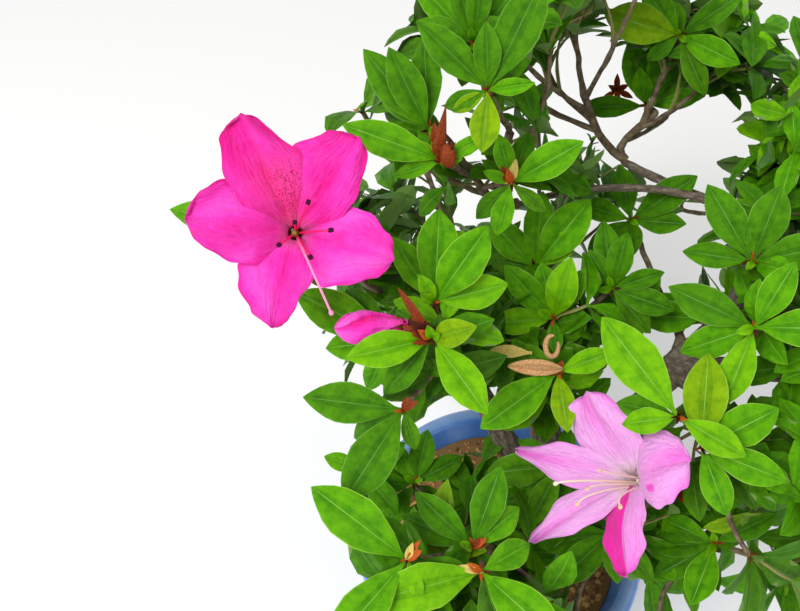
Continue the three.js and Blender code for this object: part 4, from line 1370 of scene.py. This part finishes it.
def blotched(centre, width, reach):
    """Speckles that are thickest beside the furrow and end partway to the tip."""
    return lambda q, s: np.exp(-(((s - centre) / width) ** 2)) * (1 - smooth_step(reach * 0.45, reach, q))


# %% [markdown]
# ### The two blooms in view
# The left bloom is magenta all over, with crimson speckles round its upper furrows. The lower right
# one is pale pink, its lobes narrow and pulled to one side, and half of one lobe is magenta, as a
# streaked azalea does. Each lobe has its clock angle, length, half widths to the left and right of
# its furrow, and its lift, so no two are alike.

# %% The magenta bloom


def rosy(base, heart):
    """How magenta: deeper along the furrow, at the very edge and towards the throat."""
    def flush(q, s):
        edge = 0.12 * smooth_step(0.86, 1.0, np.abs(s)) + 0.10 * smooth_step(0.85, 1.0, q)
        furrow = heart * np.exp(-((s / 0.13) ** 2)) * (1 - 0.6 * q)
        root = 0.22 * smooth_step(0.3, 0.9, np.abs(s)) * (1 - smooth_step(0.06, 0.34, q))
        return base + edge + furrow + root + 0.08 * np.sin(4 * s + 5 * q) * smooth_step(0.1, 0.5, q)
    return flush


magenta_lobes = [
    lobe(335, 38.4, [4, 6.5, 9.6, 10.8, 11, 10.2, 7.6], [4, 7.6, 10.6, 11.4, 9.8, 7.0, 4.2], 22, layer=2.6,
         flush=rosy(0.9, 0.12), blotch=blotched(0.3, 0.75, 0.8), lean=-0.03, ruffle=0.5, recurve=1.4),
    lobe(33, 35, [4, 8, 11, 13, 14, 11.8, 7.6], [4, 7.6, 8.8, 9.2, 8.4, 7.2, 5.2], 22, layer=1.3,
         flush=rosy(0.84, 0.14), blotch=blotched(-0.7, 0.4, 0.5), lean=-0.05, ruffle=0.5, recurve=1.4),
    lobe(105, 31.5, [4, 7.6, 10, 11.5, 12, 9.8, 7], [5, 8.8, 12.8, 12.6, 10, 8.4, 5.8], 22, layer=0.6,
         flush=rosy(0.7, 0.12), ruffle=1.2, lean=0.03),
    lobe(193, 30.2, [4.5, 7.4, 9, 7.4, 5.4, 4.8, 3.6], [4, 10, 13.2, 13.8, 13.2, 10.6, 7], 22, layer=-0.7,
         flush=rosy(0.74, 0.12), lean=-0.03),
    lobe(278, 33.2, [5, 9.6, 10.7, 11, 9.9, 8.4, 5.6], [4, 8, 11, 12.6, 13, 11.6, 8], 22, layer=1.1,
         flush=rosy(0.75, 0.12), blotch=blotched(0.75, 0.35, 0.42), lean=-0.05),
]
make_bloom("bloom_magenta", front_of("mass_bloom_left"), magenta_lobes, 5)

# %% The pale bloom
# Its petals run from white to pink, and one half of one lobe is plainly magenta.


def pale(base, patch=None):
    def flush(q, s):
        value = base + 0.10 * np.sin(5 * s + 3 * q) * q + 0.14 * q - 0.12 * (1 - smooth_step(0.0, 0.3, q))
        if patch:
            from_patch = np.hypot((q - patch[0]) / 0.11, (s - patch[1]) / 0.14)
            value = value + 0.36 * (1 - smooth_step(0.5, 1.0, from_patch))
        return value
    return flush


def half_magenta(q, s):
    return np.where(s > 0.0, 0.86, 0.22 + 0.2 * q) + 0.1 * smooth_step(0.8, 1.0, q)


pale_front = front_of("mass_front_right")
pale_front["at"] = pale_front["at"] + 4.0 * pale_front["axis"]
pale_lobes = [
    lobe(341, 32, [4, 7.5, 10, 12, 12, 10, 8], [5.5, 8, 11, 12, 11, 9, 7], 33, layer=0.4,
         flush=pale(0.22), ruffle=1.3, pale_throat=0.5),
    lobe(71, 27.5, [5.5, 9, 12, 12.5, 12, 10.6, 8], [4, 8, 11, 12, 11.7, 10.2, 7.6], 16, layer=1.4,
         flush=pale(0.24, (0.40, 0.5)), recurve=7, cup=1.4, blunt=2.2, ruffle=0.4, pale_throat=0.5),
    lobe(160, 33.5, [4, 6, 7, 7.4, 7.2, 7, 4.8], [4, 6.4, 8, 8.4, 8, 7, 4.6], 20, layer=0.2,
         flush=half_magenta, cup=1.6),
    lobe(218, 39.5, [4, 5, 6.2, 6.8, 6, 4.6, 2.2], [4, 5, 6.2, 6.8, 6, 4.4, 2], 33,
         flush=pale(0.2), ruffle=1.2, cup=2.0, recurve=4, pale_throat=0.5),
    lobe(275, 39, [4, 5.4, 7, 7.6, 6.6, 4.4, 1.8], [4, 5, 6, 6.6, 6, 4, 1.6], 33, layer=0.2,
         flush=pale(0.22), ruffle=1.3, cup=1.6, pale_throat=0.5),
]
make_bloom("bloom_pale", pale_front, pale_lobes, 9)

# %% Blooms on the far sides
EVEN_LENGTHS = [34, 33, 32, 32, 33]
EVEN_WIDTHS = np.array([4, 7.5, 10.5, 12, 12, 10, 6.5])
FAR_BLOOMS = {  # mass: its piece, how its lobes are coloured, and its size
    "mass_right_far": ("bloom_right", lambda k: pale(0.3 + 0.06 * k), 1.0),
    "mass_rear_left": ("bloom_rear", lambda k: rosy(0.74 - 0.03 * k, 0.1), 0.66),
}
for node, (name, flush, size) in FAR_BLOOMS.items():
    widths = size * EVEN_WIDTHS
    far_lobes = [
        lobe(72 * k, size * length, widths, widths, 25, layer=0.9 * (k % 3), flush=flush(k),
             blotch=unspeckled if k else blotched(0.0, 0.7, 0.6))
        for k, length in enumerate(EVEN_LENGTHS)
    ]
    make_bloom(name, front_of(node), far_lobes, 21)

# %% [markdown]
# ## Stamens and styles
# Four or five thin stamens and one longer style stand out of the throat. They are curved tubes,
# each stamen ending in a small two-celled anther and the style in a knob. Their skin is smooth and
# moist, with a half-gloss, and its grain is finer than the picture shows.

# %% Stamen finishes
STAMEN_GRAIN_MM = 0.025
STAMEN_TONES = {  # colour, roughness, refraction and how strongly it reflects
    "filament_crimson": ("#F01468", 0.45, 1.4, 0.5), "filament_cream": ("#F8E2CC", 0.45, 1.4, 0.5),
    "anther_purple": ("#46082E", 0.75, 1.5, 0.12), "anther_cream": ("#E8C9A0", 0.6, 1.5, 0.5),
    "ovary_green": ("#8E8A2C", 0.6, 1.5, 0.5), "style_pink": ("#FF92BE", 0.45, 1.4, 0.5),
}
CRIMSON, CREAM, DARK_ANTHER, PALE_ANTHER, OVARY, STYLE_PINK = range(6)
stamen_finishes = [
    grained(name, colour, colour, STAMEN_GRAIN_MM, roughness, 0.4, 0.1, IOR=ior, Specular_IOR_Level=level)
    for name, (colour, roughness, ior, level) in STAMEN_TONES.items()
]
print("stamen finishes:", len(stamen_finishes))

# %% Stamens


def add_stamen(parts, front, tip, radius, finish, anther, arch):
    """A filament that rises from deep in the tube and arches out to its tip (right, up, out)."""
    right, up, out = tip
    t = np.linspace(0, 1, 20)
    sideways = right * front["right"] + up * front["up"]
    aside = np.outer(t**arch, sideways) + np.outer(1 - t, 1.2 * unit(sideways))
    rise = -13 + (out + 13) * (1 - (1 - t) ** 1.7)
    path = front["at"] + aside + np.outer(rise, front["axis"])
    take_tube(parts, path, radius * (1.15 - 0.35 * t), 8, finish)
    end, way = path[-1], unit(path[-1] - path[-3])
    t = np.linspace(0, 1, 9)
    knob = np.sqrt(np.sin(math.pi * (0.06 + 0.88 * t)))
    if anther is None:
        take_tube(parts, end + way * (t[:, None] - 0.4) * 1.6, 0.75 * knob, 10, finish)
        return
    across = unit(np.cross(way, front["axis"] + 0.3 * front["up"]))
    for sign in (-1, 1):
        cell = end + sign * across * 0.26 + np.outer(t - 0.35, way) * 1.7
        take_tube(parts, cell, 0.48 * knob, 8, anther)


def stamens_of(node, name, tips, style, colour, anther, style_colour, arch=2.2):
    parts, front = Parts(), front_of(node)
    for tip in tips:
        add_stamen(parts, front, tip, 0.34, colour, anther, arch)
    add_stamen(parts, front, style, 0.42, style_colour, None, arch)
    t = np.linspace(0, 1, 8)
    ovary = front["at"] + np.outer(-6 + 5.2 * t, front["axis"])
    broad, finish = (2.1, CREAM) if colour == CREAM else (1.35, OVARY)
    take_tube(parts, ovary, broad * np.sqrt(1 - 0.98 * t**2), 14, finish)
    parts.make(name, stamen_finishes)


OPEN_TIPS = [(3.5, 8.5, 13), (9.7, 1, 13), (-4.3, -3.1, 13), (4.1, -6.4, 13), (-0.1, 2.9, 12)]
PALE_TIPS = [(2, 1, 22), (-0.2, -5.1, 24), (-3.3, -10.3, 24), (9.5, -8.6, 20)]
SPREAD_TIPS = [(3, 6, 16), (7, 1, 17), (-5, 2, 16), (4, -6, 18), (-3, -6, 15)]
SHORT_TIPS = [(2, 3, 9), (4, 1, 10), (-3, 1, 9), (2, -3, 10), (-2, -3, 9)]
dark = (CRIMSON, DARK_ANTHER, STYLE_PINK)
light = (CREAM, PALE_ANTHER, CREAM)
stamens_of("mass_bloom_left", "stamens_magenta", OPEN_TIPS, (10.1, -22.3, 13), *dark)
stamens_of("mass_front_right", "stamens_pale", PALE_TIPS, (-8.1, -5.4, 30), *light, arch=1.25)
stamens_of("mass_right_far", "stamens_right", SPREAD_TIPS, (9, -9, 26), *light)
stamens_of("mass_rear_left", "stamens_rear", SHORT_TIPS, (2, 3, 12), *dark)

# %% [markdown]
# ## Bud
# The closed bud is five petals furled round each other. It is a round body whose radius rises and
# falls with the furled edges, and it wears the petal finish. It is deeper magenta at its foot, and in
# the groove under each lapping petal edge, where the deeper colour is painted shade.

# %% The furled bud
BUD = {"at": [-47, -3, 291], "clock": 269, "length": 22.5, "lift": 12}
BUD_ROWS, BUD_SIDES = 56, 96
bud_front = facing_light(np.array(BUD["at"], float))
bud_way = direction(bud_front, BUD["clock"], BUD["lift"])
t = np.linspace(0, 1, BUD_ROWS)[:, None]
angle = np.linspace(0, 2 * math.pi, BUD_SIDES, endpoint=False)[None, :]
furl = (angle * 4 / (2 * math.pi) + 1.3 * t + 0.15) % 1.0
girth = 2.0 + 3.8 * np.sin(math.pi * np.clip(0.04 + 0.93 * t**1.5, 0, 1)) ** 0.85
lapped = 1 - 0.3 * furl**2.4 + 0.05 * np.sin(3 * angle) + 0.03 * np.sin(9 * t + 5 * furl)
path = bud_front["at"] + np.outer(t * BUD["length"], bud_way)
flat = np.stack(np.broadcast_arrays(angle / (2 * math.pi), t), -1).reshape(-1, 2)
flat = np.concatenate([flat, [[0.5, 0], [0.5, 1]]])
parts = Parts()
take_tube(parts, path, girth * lapped * np.sqrt(1 - 0.97 * t**9), BUD_SIDES, 0, flat)
# deeper magenta in the groove under each lapping petal edge: painted shade
flush = 0.66 + 0.34 * smooth_step(0.45, 0.95, furl) + 0.3 * (1 - smooth_step(0.0, 0.3, t))
flush = np.clip(flush + 0.1 * np.sin(7 * t + angle), 0, 1)
red_foot = 0.9 * (1 - smooth_step(0.02, 0.34, t)) + 0 * angle
numbers = np.stack([flush, red_foot, 0 * flush, np.ones_like(flush)], -1).reshape(-1, 4)
paint(parts.make("bud", [petal], sharp=60), np.concatenate([numbers, numbers[:1], numbers[-1:]]))

# %% [markdown]
# ## Scales and dry parts
# Brown papery scales hold the bud, the foot of each bloom and the tip of each twig, and the dry
# remains of old blooms stand among the leaves: a pod, a curled style, a dead leaf and two seed
# heads. Scales are small cupped sheets, and the pod and dark buds are ribbed round bodies. All of it
# is dead tissue, so it is matt, with a fine fibrous grain from dark to light.

# %% Finishes of dry tissue
SCALE_GRAIN_MM = 0.35


def dry_finish(name, dark, light, grain_mm=SCALE_GRAIN_MM):
    return grained(name, dark, light, grain_mm, 0.6, 0.5, 0.2, Specular_IOR_Level=0.2)


scale_finishes = [
    dry_finish("scale_red_brown", "#5C1E08", "#94400F"),
    dry_finish("scale_orange", "#98400E", "#C65C1A"),
    dry_finish("scale_dark", "#2C0E08", "#561E10"),
    dry_finish("scale_straw", "#AE9A42", "#DCCC76"),
    dry_finish("dry_pod", "#A0683A", "#E4B884"),
]
RED_BROWN, ORANGE, DARK, STRAW, POD = range(5)
print("dry finishes:", len(scale_finishes))

# %% Scales round each whorl
scales = Parts()
dice = np.random.default_rng(17)


def add_scale(root, along, front, length, width, finish, arch=0.7):
    blade = {"along": unit(along), "front": front, "root": root, "length": length, "width": width}
    take_leaf(scales, leaf_grid(blade, arch, 0.9, 0.1, 0.1, SMALL_LEAF), SMALL_LEAF, finish, 0.3)


def scales_round(front, count, length, finishes, lift=(30, 70)):
    for k in range(count):
        clock = 360 * k / count + dice.uniform(-25, 25)
        way = direction(front, clock, dice.uniform(*lift))
        size = length * dice.uniform(0.7, 1.15)
        width = size * dice.uniform(0.16, 0.3)
        root = front["at"] - 0.5 * front["axis"]
        add_scale(root, way, front["axis"], size, width, int(dice.choice(finishes)))


PAPERY = {  # large scales of the listed whorls: clock angle, length, lift, width and finish
    ("mass_top_left", 1): [[30, 9, 40, 3.5, 0], [350, 7, 40, 3, 0], [300, 5, 20, 3, 2]],
    ("mass_top_left", 2): [[12, 10, 25, 3.2, 3], [330, 8, 20, 3.5, 0], [345, 8, 45, 3, 1],
                           [300, 7, 10, 3, 3]],
    ("mass_left_front", 0): [[326, 21, 22, 3.0, 0], [338, 9, 40, 3.2, 2], [292, 12, 26, 3.4, 0],
                             [8, 6, 40, 3, 2], [276, 13, 18, 2.8, 0], [308, 12, 34, 3.6, 2],
                             [255, 9, 40, 2.8, 0], [300, 9, 50, 3.4, 1], [284, 8, 50, 3.2, 2]],
    ("mass_middle_front", 1): [[282, 12, 24, 3.4, 3], [300, 9, 40, 3, 3], [20, 6, 30, 2.4, 0]],
    ("mass_front_low", 0): [[282, 9, 30, 2.6, 3], [300, 7, 40, 2.4, 1], [270, 6, 20, 2, 0]],
    ("mass_front_low", 1): [[60, 7, 30, 2.6, 1], [40, 6, 40, 2.2, 0], [80, 6, 10, 2, 0]],
    ("mass_front_low", 2): [[20, 7, 35, 2.4, 3], [60, 7, 35, 2.6, 1], [35, 8, 20, 2, 1]],
    ("mass_left_front", 3): [[20, 6, 30, 2.2, 0], [60, 7, 30, 2.4, 0]],
}
for name, k, front in whorl_fronts:
    scales_round(front, 4, 4.2, [RED_BROWN, ORANGE, DARK])
    for clock, length, lift, width, finish in PAPERY.get((name, k), ()):
        way = direction(front, clock, lift)
        add_scale(front["at"] - way, way, front["axis"], length, width, finish, arch=0.9)
bud_side = np.cross(bud_front["axis"], bud_way)
bud_base = {**bud_front, "axis": bud_way, "up": bud_front["axis"], "right": bud_side}
scales_round(bud_base, 9, 6.5, [RED_BROWN, ORANGE, DARK], lift=(40, 80))
scales_round(bud_front, 12, 6.0, [RED_BROWN, DARK, DARK], lift=(5, 70))
print("scale points so far:", scales.count)

# %% Dark buds, pod, dead leaf and curled style
# Each place below is where the part shows in the picture, with its distance from the eye.


def ribbed_body(foot, tip, radii, ribs, depth, sides, finish):
    """A straight round body with ribs along it, and the radii that it has from foot to tip."""
    angle = np.linspace(0, 2 * math.pi, sides, endpoint=False)[None, :]
    path = np.linspace(foot, tip, len(radii))
    take_tube(scales, path, radii[:, None] * (1 + depth * np.cos(ribs * angle)), sides, finish)


spike_foot, t = place_seen(436, 158, 266), np.linspace(0, 1, 20)
spike = 2.4 * np.minimum(1, (t + 0.1) * 3) * (1 - t**1.3) + 0.08
ribbed_body(spike_foot, place_seen(446, 105, 258), spike, 3, 0.2, 18, RED_BROWN)
beside = unit(place_seen(434, 118, 262) - spike_foot)
add_scale(spike_foot, beside, unit(EYE - spike_foot), 11, 3.0, RED_BROWN, arch=0.6)
bud_foot, bud_tip = place_seen(450, 167, 264), place_seen(446, 144, 260)
bulge = 2.4 * np.sin(math.pi * np.linspace(0.1, 0.93, 14)) ** 0.8
ribbed_body(bud_foot, bud_tip, bulge, 3, 0.16, 18, RED_BROWN)
third = bud_foot + (bud_tip - bud_foot) * 3 / 13
bud_scales = {**facing_light(third), "axis": unit(bud_tip - bud_foot)}
scales_round(bud_scales, 7, 7.0, [RED_BROWN, RED_BROWN, DARK], lift=(55, 85))
pod_foot, t = place_seen(563, 369, 288), np.linspace(0, 1, 16)
pod = 2.6 * np.sin(math.pi * (0.03 + 0.94 * t)) ** 0.8
ribbed_body(pod_foot, place_seen(508, 366, 284), pod, 6, 0.22, 24, POD)
dead_leaf = unit(place_seen(489, 350, 290) - place_seen(530, 353, 290))
add_scale(place_seen(532, 353, 290), dead_leaf, unit(EYE - pod_foot), 14.5, 4.6, STRAW, arch=0.5)
turns = np.linspace(-0.4, 5.0, 26)
curl = [place_seen(552 + 6.5 * math.cos(a), 346 + 10.5 * math.sin(a), 289 - 1.2 * a) for a in turns]
take_tube(scales, curl, 0.95 - 0.55 * np.abs(np.linspace(-1, 1, 26)) ** 3, 8, POD)

# %% Seed heads, and the foot of each bloom


def seed_head(place, swing, lifts, lengths, finishes):
    """Six dry scales that stand round the place where a flower was."""
    front = facing_light(place)
    for k in range(6):
        way = direction(front, 60 * k + dice.uniform(-swing, swing), dice.uniform(*lifts))
        length = dice.uniform(*lengths)
        add_scale(place, way, front["axis"], length, 2.8, int(dice.choice(finishes)))


seed_head(place_seen(617, 90, 380), 12, (15, 65), (8, 11), [RED_BROWN, ORANGE, RED_BROWN])
seed_head(place_seen(684, 492, 296), 20, (5, 60), (5, 8), [RED_BROWN, DARK, ORANGE])
for node in BLOOMS:
    front = front_of(node)
    calyx = {**front, "at": front["at"] - TUBE_LENGTH * front["axis"]}
    scales_round(calyx, 5, 7.0, [RED_BROWN, DARK, STRAW], lift=(50, 78))
scales.make("scales", scale_finishes, (), "foliage", sharp=70)

# %% [markdown]
# ## Pot
# The pot is turned stoneware, dipped in a cornflower-blue glaze that stops short of the foot and
# thins over the rim. A turned body is a profile spun round, so the profile is drawn once with
# rounded corners. The three drain holes are cut with a boolean.

# %% Pot profile
POT = {"height": 105, "rim": 70, "base": 48, "wall": 6, "lip": 9, "lip_depth": 15, "floor": 7}
DRAIN = {"count": 3, "radius": 4.5, "ring": 27}
FOOT_BARE = 7.0
base, rim, top = POT["base"], POT["rim"], POT["height"]
pot_profile = [
    (0, 0.4), (base - 4, 0.4), (base - 3, 0), (base - 1.2, 0.2), (base, 2),
    (base + 1.0, FOOT_BARE), (base + 1.3, FOOT_BARE + 0.5), (rim - 6, top - POT["lip_depth"]),
    (rim - 4.4, top - 14.6), (rim - 1.5, top - 13.5), (rim - 0.3, top - 12), (rim, top - 10),
    (rim, top - 4), (rim - 0.8, top - 2), (rim - 3, top - 0.4), (rim - 4.5, top),
    (rim - 6.4, top - 0.4), (rim - 8, top - 1.6), (rim - POT["lip"], top - 3.4),
    (base - POT["wall"], POT["floor"]), (0, POT["floor"]),
]


def spun(profile, sides):
    """Points of a profile spun round the upright axis, on which its first and last point lie."""
    profile = np.array(profile, float)
    angle = np.linspace(0, 2 * math.pi, sides, endpoint=False)
    r, z = profile[1:-1, :1], profile[1:-1, 1:]
    rings = np.stack([r * np.cos(angle), r * np.sin(angle), np.repeat(z, sides, axis=1)], -1)
    return np.concatenate([rings.reshape(-1, 3), [[0, 0, profile[0, 1]], [0, 0, profile[-1, 1]]]])


print("pot", top, "mm tall and", 2 * rim, "mm wide")

# %% [markdown]
# ### Glaze
# A glaze is a thin glass, so it is smooth with a sharp gloss, which the coat gives, over a blue that
# pools in soft runs about 16 mm wide. On the top 1.5 mm of the rim the blue is mixed
# towards a paler blue.

# %% Glaze and stoneware
RUN_MM, PIT_MM = 16, 2.5
glaze = finish_of("cornflower_glaze", "#4A7FCB", 0.22, Coat_Weight=0.6, Coat_Roughness=0.05, IOR=1.5)
place = add(glaze, "TexCoord").outputs["Object"]
stretched = add(glaze, "Mapping", links={"Vector": place, "Scale": (1.0, 1.0, 0.35)})
runs = add(glaze, "TexNoise", links={"Vector": stretched, "Scale": 1 / (RUN_MM * MM), "Detail": 5.0})
tones = add(glaze, "ValToRGB", links={0: runs}, stops=[
    (0.32, "#3E70BA"), (0.52, "#4A80CC"), (0.7, "#6894D6"),
])
height = add(glaze, "SeparateXYZ", links={0: place})
# the top 1.5 mm of the rim is mixed towards a paler blue
rim_share = add(glaze, "MapRange", links={
    0: height.outputs[2], 1: (top - 1.5) * MM, 2: top * MM, 3: 0.0, 4: 0.55,
})
rimmed = add(glaze, "Mix", {"data_type": "RGBA"}, {0: rim_share, 6: tones, 7: linear("#9DB8DE")})
pits = add(glaze, "TexNoise", links={"Vector": place, "Scale": 1 / (PIT_MM * MM), "Detail": 2.0})
pitted = add(glaze, "Bump", links={"Strength": 0.12, "Distance": 0.4 * MM, "Height": pits})
join(glaze, "Base Color", rimmed.outputs[2])
join(glaze, "Normal", pitted)
stoneware = dry_finish("bare_stoneware", "#B49A78", "#D2BB98", 0.2)  # unglazed clay, dry and matt
print("glaze nodes:", len(glaze.node_tree.nodes))

# %% The pot, with its drain holes
POT_SIDES = 128
points = spun(pot_profile, POT_SIDES)
walls, ends = ring_faces(len(pot_profile) - 2, POT_SIDES)
bare = points[:, 2][walls].max(axis=1) <= FOOT_BARE + 0.6
parts = Parts()
parts.take(points, (walls, ends), [*bare.astype(int).tolist(), *[1] * len(ends)])
pot_piece = parts.make("pot_glazed", [glaze, stoneware], ["pot"], "glaze", sharp=50)
drill = Parts()
for k in range(DRAIN["count"]):
    turn = 2 * math.pi * k / DRAIN["count"]
    x, y = DRAIN["ring"] * math.cos(turn), DRAIN["ring"] * math.sin(turn)
    take_tube(drill, [[x, y, -4], [x, y, 4], [x, y, 12]], [DRAIN["radius"]] * 3, 32, 0)
hole_object = put("drain_holes", drill.plain_mesh("drain_holes"))
cut = pot_piece.modifiers.new("drain", "BOOLEAN")
cut.operation, cut.object, cut.solver = "DIFFERENCE", hole_object, "EXACT"
bake_modifiers(pot_piece)
bpy.data.objects.remove(hole_object)
print("pot faces:", len(pot_piece.data.polygons))

# %% [markdown]
# ## Soil
# The mix is bark chips and clay grit of two to six millimetres. A flat brown top would look like
# paint, so the body of the soil has an uneven top, and many small broken grains lie on it, sunk to
# a third of their depth. They are joined into one mesh with four tints, dry and matt.

# %% Soil body
SOIL_LEVEL, SOIL_EDGE, SOIL_SIDES = 94.0, 90.5, 72
GRIT_MM = 0.17  # finer than the picture shows, it only dulls the grains


def wall_radius(z):
    """The radius of the pot's inner wall at a height."""
    low, high = POT["base"] - POT["wall"], POT["rim"] - POT["lip"]
    return low + (high - low) * (z - POT["floor"]) / (POT["height"] - 3 - POT["floor"])


def soil_height(x, y):
    radii, heights = [0, 44, 52, wall_radius(SOIL_EDGE)], [SOIL_LEVEL, SOIL_LEVEL, 93.2, SOIL_EDGE]
    level = np.interp(math.hypot(x, y), radii, heights)
    return level - 0.8 + 0.9 * noise.noise(Vector((x / 9, y / 9, 0.3)))


soil_tints = [
    dry_finish("grit_brown", "#7A5630", "#A87E4C", GRIT_MM),
    dry_finish("grit_tan", "#A88048", "#CCA468", GRIT_MM),
    dry_finish("bark_chip_dark", "#54391F", "#7A5634", GRIT_MM),
    dry_finish("clay_grain", "#B47440", "#D09C60", GRIT_MM),
]
foot = POT["floor"] + 0.3
rings = [(0, foot), (wall_radius(7) - 0.6, foot), (wall_radius(50) - 0.5, 50.0)]
rings += [(wall_radius(SOIL_EDGE) - 0.45 - 2.6 * k, 0) for k in range(22)]
rings.append((0, 0))
points = spun(rings, SOIL_SIDES)
for point in points[2 * SOIL_SIDES :]:
    if point[2] == 0:
        point[2] = soil_height(point[0], point[1])
parts = Parts()
parts.take(points, ring_faces(len(rings) - 2, SOIL_SIDES), 0)
parts.make("soil_body", soil_tints, ["soil"], "bark_mix")

# %% Soil grains
# A grain is a twenty-sided body whose corners are pushed in and out. Its faces are the threes of
# corners that lie two apart, turned so that they look outwards.
GRAINS, GOLDEN = 2300, 1.618
TRUNK_STANDS, CLEAR_ROUND_IT = (16, -19), 14
long_sides, short_sides = (GOLDEN, -GOLDEN), (1, -1)
ICO = [(0, a, b) for b in long_sides for a in short_sides]
ICO += [(a, b, 0) for b in long_sides for a in short_sides]
ICO = np.array(ICO + [(b, 0, a) for a in short_sides for b in long_sides])
ico_faces = []
for trio in itertools.combinations(range(12), 3):
    if all(math.dist(ICO[i], ICO[j]) < 2.1 for i, j in itertools.combinations(trio, 2)):
        outward = np.linalg.det(ICO[list(trio)]) > 0
        ico_faces.append(trio if outward else trio[::-1])
ico_faces = np.array(ico_faces)
grit = np.random.default_rng(31)
grains = Parts()
for _ in range(GRAINS):
    angle, reach = grit.uniform(0, 2 * math.pi), math.sqrt(grit.random())
    radius = (wall_radius(SOIL_EDGE) - 3.2) * reach
    x, y = radius * math.cos(angle), radius * math.sin(angle)
    if math.dist((x, y), TRUNK_STANDS) < CLEAR_ROUND_IT:
        continue
    size = grit.uniform(0.7, 2.0)
    spread = size * grit.uniform(0.5, 1.3, 3) * (1.0, 1.0, 0.6)
    body = ICO / 1.9 * grit.uniform(0.75, 1.1, (12, 1)) * spread
    a, b = grit.uniform(0, 2 * math.pi), grit.uniform(-0.6, 0.6)
    turn_z = np.array([[math.cos(a), -math.sin(a), 0], [math.sin(a), math.cos(a), 0], [0, 0, 1]])
    turn_x = np.array([[1, 0, 0], [0, math.cos(b), -math.sin(b)], [0, math.sin(b), math.cos(b)]])
    body = body @ (turn_z @ turn_x).T + (x, y, soil_height(x, y) + 0.3 * size)
    grains.take(body, [ico_faces], int(grit.choice(4, p=[0.35, 0.3, 0.2, 0.15])))
grains.make("soil_grains", soil_tints, (), "bark_mix", sharp=25)

# %% [markdown]
# ## Sizes
# The box of the solids is printed, in millimetres. The dressed shrub has to stay in the box of
# its solids, apart from a little that soft leaves may stand proud.

# %% Sizes
print("box of the solids", [round(x * 1000, 1) for x in (*cad_low, *cad_high)])
